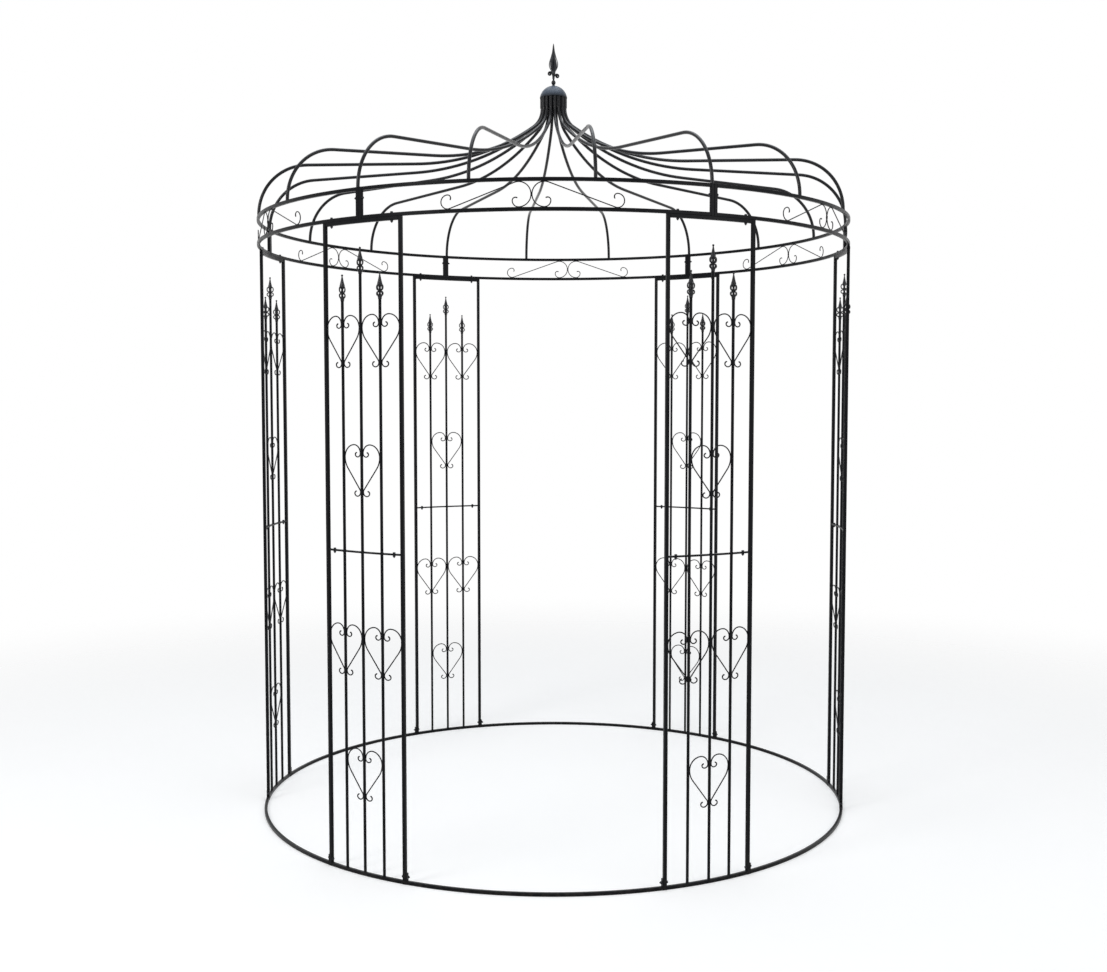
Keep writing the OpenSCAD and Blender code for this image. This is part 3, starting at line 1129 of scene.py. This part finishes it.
@dataclass(frozen=True)
class ColumnPanel:
    """One lattice panel: its frame, bars and hearts, and the weld beads on them."""

    ring: Ring
    torch: Torch
    frame: Frame
    scroll: HeartScroll
    finish: bpy.types.Material
    # From the panel's top down to a heart's, on the middle bar and on the outer ones.
    heart_drop: dict[Half, tuple[float, float]] = field(
        default_factory=lambda: {Half.LOWER: (0.667, 0.247), Half.UPPER: (0.739, 0.310)})
    bar_sides: int = 32

    def rails(self, half: Half, floor: float) -> list[tuple[float, float]]:
        """Foot and height of the panel's rail and strip, the lowest first.

        Args:
            half: Which of a column's panels.
            floor: Foot of the panel.

        Returns:
            The two pairs.
        """
        ring = self.ring
        foot, head = (ring.tube, ring.strip) if half is Half.LOWER else (ring.strip, ring.tube)
        return [(floor, foot), (floor + ring.panel_h - head, head)]

    def bar_head(self, half: Half, top: float, bar: int) -> float:
        """Height at which a bar meets the strip or its spear, in a panel up to top."""
        lower = half is Half.LOWER
        return top - self.ring.strip if lower else self.ring.spear_foot(top, bar)

    def lattice(self, number: int, half: Half) -> bpy.types.Object:
        """Frame, bars and hearts of one panel as one object.

        Args:
            number: Number of the column.
            half: Which of its panels.

        Returns:
            The lattice, which stands for the solid panel.
        """
        ring, stock = self.ring, Stock()
        node = f"{half.value}_panel_{number}"
        middle, floor = ring.column(number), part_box(node)[0].z
        top, rails = floor + ring.panel_h, self.rails(half, floor)
        for side in (-1, 1):
            self.frame.upright(stock, middle + side * 2 * ring.pitch, floor, top)
        for foot, height in rails:
            self.frame.rail(stock, middle, 2 * ring.pitch, foot, height)
        lap = ring.strip / 2 if half is Half.LOWER else ring.lap
        for bar in (-1, 0, 1):
            ends = (floor + rails[0][1] / 2, self.bar_head(half, top, bar) + lap)
            stock.lathe(ring.at(middle + bar * ring.pitch, 0.0),
                        [(ring.bar_d / 2, z) for z in ends], self.bar_sides)
            self.scroll.add(stock, middle, bar, top - self.heart_drop[half][abs(bar)])
        piece = stock.make(f"lattice_{half.value}_{number}", self.finish, Slot.COAT,
                           flat_faces=True)
        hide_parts(node)
        return piece

    def open_edges(self, foot: float, height: float) -> tuple[float, ...]:
        """Edges of a rail that can be welded across: off the ground, the beam and the joint."""
        return tuple(z for z in (foot, foot + height) if 0.0 < z < self.ring.head_z
                     and abs(z - self.ring.panel_h) > self.ring.tube / 4)

    def weld(self, number: int, half: Half) -> bpy.types.Object:
        """Beads of one panel as one object.

        Args:
            number: Number of the column.
            half: Which of its panels.

        Returns:
            The beads.
        """
        ring, stock = self.ring, Stock()
        middle, floor = ring.column(number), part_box(f"{half.value}_panel_{number}")[0].z
        top, rails = floor + ring.panel_h, self.rails(half, floor)
        for side in (-1, 1):
            place = ring.at(middle + side * ring.angle_of(ring.half_panel), 0.0)
            for foot, height in rails:
                self.torch.seam(stock, place, (-side * ring.tube / 2, ring.rail_depth / 2),
                                (foot, foot + height), self.open_edges(foot, height))
        for bar in (-1, 0, 1):
            for z in (floor + rails[0][1], self.bar_head(half, top, bar)):
                self.torch.round(stock, ring.at(middle + bar * ring.pitch, z), ring.bar_d / 2)
            drop = self.heart_drop[half][abs(bar)]
            self.scroll.weld(stock, self.torch, middle, bar, top - drop)
        return stock.make(f"welds_{half.value}_{number}", self.finish, Slot.COAT)


@dataclass(frozen=True)
class RingBeam:
    """One ring beam: its frame, pegs and scroll ornament, and the weld beads on them."""

    ring: Ring
    torch: Torch
    frame: Frame
    finish: bpy.types.Material
    peg_r: float = 0.003
    peg_h: float = 0.022
    peg_ease: float = 0.0006
    peg_sides: int = 24
    hook_x: float = 0.270
    outer_r: float = 0.022
    inner_r: float = 0.020
    end_r: float = 0.010
    last_turn: float = math.radians(130)
    bead: float = 0.012

    @property
    def post(self) -> float:
        """Angle from the beam's middle to its end post."""
        return self.ring.bay / 2 - self.ring.angle_of((self.ring.tube + self.ring.gap) / 2)

    def ornament(self, stock: Stock, middle: float) -> None:
        """Adds the pair of mirrored scrolls that lean on each other.

        Args:
            stock: Mesh to add them to.
            middle: Angle of the beam's middle.
        """
        ring, wire = self.ring, Wire(self.ring.beam_wire)
        right, base = math.pi / 2, ring.head_z + ring.tube
        clear = ring.beam_h - 2 * ring.tube
        curl_r = (clear - ring.beam_wire) / 2 + ring.weld
        curl = (-(curl_r + ring.beam_wire / 2 - ring.weld / 2), clear / 2)
        outer = (-self.hook_x, ring.beam_wire / 2 - ring.weld + self.outer_r)
        crest = (outer[0], outer[1] + self.outer_r)
        span, reach = math.dist(outer, curl), self.outer_r + curl_r
        rise = math.atan2(curl[1] - outer[1], curl[0] - outer[0]) + math.asin(reach / span)
        eye = wire.trace(crest, 0.0, [(self.end_r, -self.last_turn)])
        path = eye[:0:-1] + wire.trace(crest, 2 * right, [
            (self.outer_r, 2 * right + rise),
            (math.sqrt(span * span - reach * reach), 0),
            (curl_r, -rise - 2 * right), (self.inner_r, -right), (self.end_r, -self.last_turn)])
        for side in (-1, 1):
            wire.bend(stock, [ring.arc_point(middle, -side * x, 0.0, base + z)
                              for x, z in path])

    def body(self, number: int) -> bpy.types.Object:
        """Frame, pegs and ornament of one beam as one object.

        Args:
            number: Number of the beam.

        Returns:
            The beam, which stands for the solid one.
        """
        ring, stock = self.ring, Stock()
        middle, top = ring.beam(number), ring.head_z + ring.beam_h
        for side in (-1, 1):
            self.frame.upright(stock, middle + side * self.post, ring.head_z, top)
        for foot in (ring.head_z, top - ring.tube):
            self.frame.rail(stock, middle, self.post, foot, ring.tube)
        tip = top + self.peg_h
        for turn in (-ring.bay / 6, ring.bay / 6, self.post):
            stock.lathe(ring.at(middle + turn, 0.0), [
                (self.peg_r, top - ring.lap), (self.peg_r, tip - self.peg_ease),
                (self.peg_r - self.peg_ease, tip)], self.peg_sides)
        self.ornament(stock, middle)
        piece = stock.make(f"beam_{number}", self.finish, Slot.COAT, flat_faces=True)
        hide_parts(f"ring_beam_{number}")
        return piece

    def tack(self, stock: Stock, middle: float, start: tuple[float, float],
             end: tuple[float, float]) -> None:
        """Adds the beads on both faces of a scroll, where it touches something.

        Args:
            stock: Mesh to add them to.
            middle: Angle of the beam's middle.
            start: One end of the bead, sideways and in height.
            end: Its other end.
        """
        for face in (-1, 1):
            out = face * self.ring.beam_wire / 2
            self.torch.line(stock, *(self.ring.arc_point(middle, x, out, z)
                                     for x, z in (start, end)))

    def weld(self, number: int) -> bpy.types.Object:
        """Beads of one beam as one object.

        Args:
            number: Number of the beam.

        Returns:
            The beads.
        """
        ring, stock, reach = self.ring, Stock(), self.bead / 2
        middle, floor = ring.beam(number), ring.head_z
        low, high = floor + ring.tube, floor + ring.beam_h - ring.tube
        curl_x, waist = (high - low + ring.weld) / 2, (low + high) / 2
        for side in (-1, 1):
            for x, z in ((self.hook_x, low), (curl_x, low), (curl_x, high)):
                self.tack(stock, middle, (side * (x - reach), z), (side * (x + reach), z))
            place = ring.at(middle + side * self.post, 0.0)
            for foot, edge in ((floor, low), (high, high)):
                self.torch.seam(stock, place, (-side * ring.tube / 2, ring.rail_depth / 2),
                                (foot, foot + ring.tube), (edge,))
        self.tack(stock, middle, (0.0, waist - reach), (0.0, waist + reach))
        return stock.make(f"welds_beam_{number}", self.finish, Slot.COAT)


@dataclass(frozen=True)
class GroundRail:
    """Weld beads between one ground rail and its two tabs."""

    ring: Ring
    torch: Torch
    finish: bpy.types.Material
    foot: float = 0.002

    def weld(self, number: int) -> bpy.types.Object:
        """Beads of one ground rail as one object.

        Args:
            number: Number of the rail.

        Returns:
            The beads.
        """
        ring, stock = self.ring, Stock()
        reach = (ring.bay / 2 - ring.angle_of(ring.half_panel)
                 - ring.angle_of(ring.tube / 2 + ring.gap) - ring.angle_of(ring.tab / 2))
        y = ring.rail_depth / 2
        for side in (-1, 1):
            place = ring.at(ring.beam(number) + side * reach, 0.0)
            x = -side * ring.tab / 2
            self.torch.line(stock, place @ Vector((x, -y, ring.tube)),
                            place @ Vector((x, y, ring.tube)))
            self.torch.seam(stock, place, (x, y), (self.foot, ring.tube))
        return stock.make(f"welds_ground_{number}", self.finish, Slot.COAT)


# ---- Cast points ----------------------------------------------------------------------------
@dataclass(frozen=True)
class SpearCasting:
    """Cast spear points: core, open loops, leaf ribs, moulded rings and a ball."""

    ring: Ring
    finish: bpy.types.Material
    half_width: float = 0.015
    # Loops: rise as a share of the spear's height, half width and half height.
    tiers: tuple[tuple[float, float, float], ...] = (
        (0.20, 0.0060, 0.0064), (0.43, 0.0058, 0.0090))
    loop_wire: float = 0.0022
    loop_steps: int = 26
    loop_sides: int = 12
    # Moulded rings: radius and rise as shares of the spear's sizes, radius of the section.
    beads: tuple[tuple[float, float, float], ...] = (
        (0.60, 0.130, 0.0011), (0.36, 0.300, 0.0011), (0.56, 0.525, 0.0013))
    bead_steps: int = 28
    bead_sides: int = 8
    # Radius and rise as shares of the spear's half width and height.
    core: Profile = (
        (0.40, 0.0), (0.42, 0.035), (0.44, 0.07), (0.52, 0.10), (0.60, 0.13), (0.42, 0.155),
        (0.25, 0.18), (0.25, 0.22), (0.36, 0.30), (0.25, 0.38), (0.25, 0.44), (0.40, 0.475),
        (0.52, 0.51), (0.54, 0.54), (0.47, 0.59), (0.35, 0.68), (0.25, 0.77), (0.16, 0.87),
        (0.12, 0.92), (0.12, 0.96))
    core_sides: int = 32
    leaf: Profile = (
        (0.53, 0.55), (0.47, 0.60), (0.41, 0.64), (0.34, 0.69), (0.30, 0.725), (0.25, 0.77),
        (0.20, 0.82), (0.15, 0.87), (0.10, 0.92))
    rib: float = 0.0011
    rib_taper: float = 0.6
    rib_sides: int = 8
    ball_r: float = 0.0037
    ball_rows: int = 10
    ball_sides: int = 18

    def loop(self, stock: Stock, stand: Matrix, tier: tuple[float, float, float]) -> None:
        """Adds one oval loop.

        Args:
            stock: Mesh to add it to.
            stand: Frame on the spear's foot, with X towards the loop.
            tier: Rise of its middle, half width and half height, as in tiers.
        """
        rise, wide, high = tier
        middle = Vector((self.half_width - self.loop_wire - wide, 0, rise * self.ring.spear_h))
        path = [stand @ (middle + oval(wide, high, a)) for a in circle(self.loop_steps)]
        stock.sweep(path, [self.loop_wire] * self.loop_steps, self.loop_sides, joined=True)

    def spear(self, stock: Stock, place: Matrix) -> None:
        """Adds one spear.

        Args:
            stock: Mesh to add it to.
            place: Frame of the spear, on its foot.
        """
        wide, high = self.half_width, self.ring.spear_h
        stock.lathe(place, [(r * wide, z * high) for r, z in self.core], self.core_sides)
        thins = [self.rib * (1 - self.rib_taper * i / (len(self.leaf) - 1))
                 for i in range(len(self.leaf))]
        for quarter in range(4):
            for tier in self.tiers:
                stand = place @ Matrix.Rotation(quarter * math.pi / 2, 4, "Z")
                self.loop(stock, stand, tier)
            stand = place @ Matrix.Rotation((quarter + 0.5) * math.pi / 2, 4, "Z")
            path = [stand @ Vector((r * wide, 0, z * high)) for r, z in self.leaf]
            stock.sweep(path, thins, self.rib_sides)
        for share, rise, size in self.beads:
            path = [place @ polar(share * wide, a, rise * high) for a in circle(self.bead_steps)]
            stock.sweep(path, [size] * self.bead_steps, self.bead_sides, joined=True)
        rows = [math.pi * (i + 0.5) / self.ball_rows for i in range(self.ball_rows)]
        stock.ball(place @ Matrix.Translation((0, 0, high - self.ball_r)), self.ball_r, rows,
                   self.ball_sides)

    def make(self, number: int) -> bpy.types.Object:
        """The three spears of one column.

        Args:
            number: Number of the column.

        Returns:
            The castings as one object.
        """
        ring, stock = self.ring, Stock()
        for bar in (-1, 0, 1):
            foot = ring.spear_foot(ring.head_z, bar)
            self.spear(stock, ring.at(ring.column(number) + bar * ring.pitch, foot))
        return stock.make(f"spear_castings_{number}", self.finish, Slot.COAT)


@dataclass(frozen=True)
class Finial:
    """Cast finial: ball, neck, curled leaves and an open bud of blades with a long tip."""

    finish: bpy.types.Material
    height: float = 0.164
    crease: float = 55.0
    blades: int = 6
    blade_gap: float = 0.26
    blade_steps: int = 8
    blade_thick: float = 0.0022
    blade_thinning: float = 0.45
    blade_keel: float = 0.0010
    keel_focus: float = 3.2
    blade_hollow: float = 0.0008
    least_r: float = 0.0012
    fullness: float = 0.8
    # Curls: lift of each, radius and height of the eye, radius of the root and its rise
    # above the eye, and the degrees at which a curl starts and through which it turns.
    curl_lifts: tuple[float, ...] = (0.0010, -0.0060, -0.0090, -0.0030)
    curl_eye: tuple[float, float] = (0.0142, 0.0450)
    curl_root: tuple[float, float] = (0.0045, 0.0015)
    curl_r: float = 0.0066
    curl_end: float = 0.0012
    curl_turns: tuple[float, float] = (112, 420)
    curl_steps: int = 34
    lead_steps: int = 5
    leaf_r: float = 0.0033
    leaf_taper: float = 0.0012
    leaf_flat: float = 1.3
    leaf_sides: int = 10
    eye_r: float = 0.0026
    eye_rows: tuple[float, ...] = (0.15, 0.6, 1.1, 1.57, 2.1, 2.6, 3.0)
    eye_sides: int = 12
    stalk: Profile = (
        (0.0050, -0.0040), (0.0054, 0.0), (0.0048, 0.0018), (0.0058, 0.0034), (0.0072, 0.0052),
        (0.0083, 0.0078), (0.0087, 0.0107), (0.0083, 0.0136), (0.0072, 0.0162),
        (0.0056, 0.0180), (0.0043, 0.0194), (0.0037, 0.0220), (0.0037, 0.0262),
        (0.0050, 0.0280), (0.0055, 0.0295), (0.0047, 0.0312), (0.0046, 0.0335),
        (0.0058, 0.0380), (0.0071, 0.0440), (0.0076, 0.0500), (0.0082, 0.0545),
        (0.0098, 0.0575), (0.0098, 0.0600), (0.0066, 0.0630), (0.0048, 0.0680),
        (0.0046, 0.0900), (0.0048, 0.1180))
    stalk_sides: int = 40
    bud: Profile = (
        (0.0092, 0.0575), (0.0112, 0.0612), (0.0136, 0.0655), (0.0160, 0.0710),
        (0.0174, 0.0780), (0.0174, 0.0850), (0.0164, 0.0915), (0.0146, 0.0980),
        (0.0124, 0.1045), (0.0101, 0.1115), (0.0079, 0.1190), (0.0058, 0.1275))
    tip: Profile = (
        (0.0082, 0.1150), (0.0068, 0.1225), (0.0053, 0.1310), (0.0042, 0.1395),
        (0.0032, 0.1480), (0.0022, 0.1560), (0.0011, 0.1622), (0.0004, 0.1640))
    tip_sides: int = 48
    tip_flute: float = 0.10

    def blade(self, stock: Stock, place: Matrix, turn: float) -> None:
        """Adds one leaf blade of the bud.

        Args:
            stock: Mesh to add it to.
            place: Frame of the finial.
            turn: Angle at which the blade stands.
        """
        rings = []
        for row, (radius, z) in enumerate(self.bud):
            t = row / (len(self.bud) - 1)
            belly = math.sin(math.pi * t) ** self.fullness
            half = math.pi / self.blades * (1.0 - self.blade_gap * belly)
            outer, inner = [], []
            for i in range(self.blade_steps + 1):
                u = 2 * i / self.blade_steps - 1
                a = turn + half * u
                keel = (self.blade_keel * math.exp(-(u * self.keel_focus) ** 2)
                        - self.blade_hollow * u * u)
                edge = self.blade_thick * (1 - self.blade_thinning * abs(u))
                outer.append(place @ polar(radius + keel, a, z))
                inner.append(place @ polar(max(radius - edge, self.least_r), a, z))
            rings.append(outer + inner[::-1])
        stock.skin(rings)

    def curl(self, stock: Stock, place: Matrix, turn: float, lift: float) -> None:
        """Adds one leaf that springs from the neck and curls out, down and in again.

        Args:
            stock: Mesh to add it to.
            place: Frame of the finial.
            turn: Angle at which it stands.
            lift: How far it stands above the others.
        """
        stand = place @ Matrix.Rotation(turn, 4, "Z") @ Matrix.Translation((0, 0, lift))
        eye = Vector((self.curl_eye[0], 0, self.curl_eye[1]))
        first, whole = self.curl_turns
        path, radii = [], []
        for i in range(self.curl_steps + 1):
            t = i / self.curl_steps
            r = self.curl_r * (1 - t) ** self.fullness + self.curl_end
            path.append(stand @ (eye + oval(r, r, math.radians(first - whole * t))))
            radii.append(self.leaf_r - self.leaf_taper * t)
        root = stand @ Vector((self.curl_root[0], 0, eye.z + self.curl_root[1]))
        lead = [root.lerp(path[0], i / self.lead_steps) for i in range(self.lead_steps)]
        stock.sweep(lead + path, [radii[0]] * len(lead) + radii, self.leaf_sides,
                    flat=self.leaf_flat)
        stock.ball(stand @ Matrix.Translation(eye), self.eye_r, self.eye_rows, self.eye_sides)

    def make(self) -> bpy.types.Object:
        """The finial, which stands for its plainer solid.

        Returns:
            The cast piece.
        """
        low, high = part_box("finial")
        place = Matrix.Translation(((low.x + high.x) / 2, (low.y + high.y) / 2,
                                    high.z - self.height))
        stock = Stock()
        stock.lathe(place, self.stalk, self.stalk_sides)
        stock.lathe(place, self.tip, self.tip_sides, self.blades, self.tip_flute)
        for turn in circle(self.blades):
            self.blade(stock, place, turn)
        for turn, lift in zip(circle(len(self.curl_lifts)), self.curl_lifts):
            self.curl(stock, place, math.pi - turn, lift)
        piece = stock.make("finial_cast", self.finish, Slot.CAST, self.crease)
        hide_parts("finial")
        return piece


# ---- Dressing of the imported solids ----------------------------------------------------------
@dataclass(frozen=True)
class Metalwork:
    """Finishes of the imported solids."""

    coat: bpy.types.Material
    gloss: bpy.types.Material
    enamel: bpy.types.Material
    cast: bpy.types.Material
    seam: float = 0.00001
    crease: float = 32.0

    def rounding(self) -> bpy.types.NodeTree:
        """Node group that lets light run evenly over the short faces of bent pieces.

        Returns:
            The group for a nodes modifier.
        """
        group = bpy.data.node_groups.new("even_light", "GeometryNodeTree")
        for way in ("INPUT", "OUTPUT"):
            group.interface.new_socket("Geometry", in_out=way, socket_type="NodeSocketGeometry")
        nodes, links = group.nodes, group.links
        source = nodes.new("NodeGroupInput").outputs[0]
        join = nodes.new("GeometryNodeMergeByDistance")
        join.inputs["Distance"].default_value = self.seam
        bare = nodes.new("GeometryNodeRemoveAttribute")
        bare.inputs["Name"].default_value = "custom_normal"
        soft = nodes.new("GeometryNodeSetShadeSmooth")
        keep = nodes.new("GeometryNodeSetShadeSmooth")
        keep.domain = "EDGE"
        keep.inputs["Shade Smooth"].default_value = False
        bend = nodes.new("GeometryNodeInputMeshEdgeAngle")
        over = nodes.new("FunctionNodeCompare")
        over.operation = "GREATER_THAN"
        over.inputs[1].default_value = math.radians(self.crease)
        links.new(bend.outputs["Unsigned Angle"], over.inputs[0])
        links.new(over.outputs[0], keep.inputs["Selection"])
        for step in (join, bare, soft, keep):
            links.new(source, step.inputs["Geometry"])
            source = step.outputs["Geometry"]
        links.new(source, nodes.new("NodeGroupOutput").inputs[0])
        return group

    def finish_for(self, node: str) -> bpy.types.Material:
        """Finish of a solid, by its name."""
        known = {"roof_cap": self.enamel, "finial": self.cast, "roof_bar_": self.gloss}
        return known.get(node.rstrip("0123456789"), self.coat)

    def dress(self) -> list[bpy.types.Object]:
        """Gives every solid its finish and smooth turned faces.

        Returns:
            The solids.
        """
        group = self.rounding()
        for name, piece in frame["nodes"].items():
            piece.modifiers.new("even_light", "NODES").node_group = group
            piece.modifiers.new("flat_faces", "WEIGHTED_NORMAL").keep_sharp = True
            piece.data.materials.clear()
            piece.data.materials.append(self.finish_for(name))
            for face in piece.data.polygons:
                face.material_index = 0
        return list(frame["nodes"].values())


# ---- Studio ---------------------------------------------------------------------------------
@dataclass(frozen=True)
class Softbox:
    """One square studio lamp."""

    name: str
    stand: Place
    aim: Place
    side: float
    watts: float
    tint: Colour = WHITE

    def hang(self) -> None:
        """Puts the lamp in its place."""
        lamp = bpy.data.lights.new(self.name, "AREA")
        lamp.shape = "SQUARE"
        lamp.size = self.side
        lamp.energy = self.watts
        lamp.color = self.tint
        piece = put(self.name, lamp)
        piece.location = self.stand
        look = Vector(self.aim) - Vector(self.stand)
        piece.rotation_euler = look.to_track_quat("-Z", "Y").to_euler()


@dataclass(frozen=True)
class Studio:
    """White sweep, soft lamps and the camera at a standing eye."""

    floor_r: float = 6.0
    floor_z: float = -0.0005
    floor_sides: int = 96
    floor_colour: Colour = (0.80, 0.80, 0.80)
    floor_shade: float = 0.99
    floor_cloud: float = 0.4
    fade_from: float = 1.6
    fade_to: float = 0.95
    lift: float = 0.27
    ambient: float = 0.40
    eye: float = 1.59
    distance: float = 5.35
    azimuth: float = 3.43
    pitch: float = 3.5
    lens: float = 42.926829
    sensor: float = 36.0
    lamps: tuple[Softbox, ...] = (
        Softbox("sky", (0.0, 0.0, 7.0), (0.0, 0.0, 0.0), side=5.0, watts=230.0,
                tint=(0.90, 0.95, 1.0)),
        Softbox("key", (-4.2, -4.6, 4.4), (0.0, 0.0, 1.4), side=1.6, watts=120.0),
        Softbox("fill", (4.8, -3.6, 3.2), (0.0, 0.0, 1.4), side=3.0, watts=50.0))

    @staticmethod
    def seen(tree: bpy.types.NodeTree) -> bpy.types.NodeSocket:
        """One where the eye, a mirror or glass looks straight at the background.

        Args:
            tree: Node tree that needs it.

        Returns:
            The share of the plain background.
        """
        path = tree.nodes.new("ShaderNodeLightPath")
        total = path.outputs["Is Camera Ray"]
        for name in ("Is Glossy Ray", "Is Transmission Ray"):
            most = tree.nodes.new("ShaderNodeMath")
            most.operation = "MAXIMUM"
            tree.links.new(total, most.inputs[0])
            tree.links.new(path.outputs[name], most.inputs[1])
            total = most.outputs[0]
        return total

    def sweep(self) -> None:
        """White all round to the eye, a softer white to what it lights."""
        world = bpy.data.worlds.new("white_sweep")
        world.use_nodes = True
        tree = world.node_tree
        back = tree.nodes["Background"]
        level = tree.nodes.new("ShaderNodeMapRange")
        tree.links.new(self.seen(tree), level.inputs[0])
        level.inputs["To Min"].default_value = self.ambient
        level.inputs["To Max"].default_value = 1.0
        tree.links.new(level.outputs[0], back.inputs["Strength"])
        back.inputs["Color"].default_value = (*WHITE, 1.0)
        bpy.context.scene.world = world

    def floor_finish(self) -> bpy.types.Material:
        """Plain pale floor that keeps the soft shadow and fades into the background.

        Returns:
            The material.
        """
        mix = Recipe("pale_floor")
        shade = tuple(c * self.floor_shade for c in self.floor_colour)
        cloud = mix.noise(self.floor_cloud, detail=4.0)
        colour = mix.blend(cloud, self.floor_colour, shade)
        matt = mix.node("BsdfDiffuse", Color=colour)
        glow = mix.node("Emission", Color=WHITE,
                        Strength=mix.math("MULTIPLY", self.seen(mix.tree), self.lift))
        both = mix.node("AddShader")
        mix.fill(both, (matt.outputs[0], glow.outputs[0]))
        away = mix.node("VectorMath", Vector=mix.place)
        away.operation = "LENGTH"
        fade = mix.node("MixShader", Fac=mix.span(
            away.outputs["Value"], (self.fade_from, self.floor_r * self.fade_to)))
        mix.fill(fade, (both.outputs[0], mix.node("BsdfTransparent").outputs[0]), 1)
        mix.tree.links.new(fade.outputs[0], mix.output.inputs["Surface"])
        return mix.material

    def floor(self) -> None:
        """Lays the floor just under the feet of the columns."""
        work = bmesh.new()
        bmesh.ops.create_circle(work, cap_ends=True, segments=self.floor_sides,
                                radius=self.floor_r)
        mesh = bpy.data.meshes.new("floor")
        work.to_mesh(mesh)
        work.free()
        mesh.materials.append(self.floor_finish())
        piece = put("floor", mesh)
        piece.location.z = self.floor_z

    def camera(self) -> None:
        """Sets up the camera in front of the doorway, a step to the right."""
        data = bpy.data.cameras.new("camera")
        data.sensor_width = self.sensor
        data.lens = self.lens
        piece = put("camera", data)
        a = math.radians(self.azimuth)
        piece.location = (self.distance * math.sin(a), -self.distance * math.cos(a), self.eye)
        piece.rotation_euler = (math.radians(90 - self.pitch), 0, a)
        bpy.context.scene.camera = piece

    def build(self) -> None:
        """Sets up floor, sweep, lamps and camera."""
        bpy.context.scene.view_settings.view_transform = "Standard"
        self.sweep()
        self.floor()
        for lamp in self.lamps:
            lamp.hang()
        self.camera()
        LOG.info("studio: %d lamps", len(self.lamps))


def report(pieces: list[bpy.types.Object]) -> None:
    """Logs the finish and the number of faces of each piece."""
    for piece in pieces:
        LOG.info("%s: %s, %d faces", piece.name, piece.data.materials[0].name,
                 len(piece.data.polygons))


def main() -> None:
    logging.basicConfig(level=logging.INFO, format="%(name)s %(message)s")
    ring, torch = Ring(), Torch()
    coat = PowderCoat().make()
    zinc = BlackZinc().make()
    cast = CastBlack().make()
    report(Metalwork(coat, RoofGloss().make(), CapEnamel().make(), cast).dress())
    frames = Frame(ring)
    panel = ColumnPanel(ring, torch, frames, HeartScroll(ring), coat)
    beam = RingBeam(ring, torch, frames, coat)
    rail = GroundRail(ring, torch, coat)
    fixings = Fixings(ring, zinc)
    spears = SpearCasting(ring, CastBlack("cast_spears", rubbed=(0.015, 0.0165, 0.022)).make())
    for number in range(1, ring.bays + 1):
        report([rail.weld(number)])
        for half in Half:
            report([panel.lattice(number, half), panel.weld(number, half)])
        report([spears.make(number), beam.body(number), beam.weld(number),
                fixings.make(number)])
    report([Finial(cast).make()])
    Studio().build()


if __name__ == "__main__":
    main()
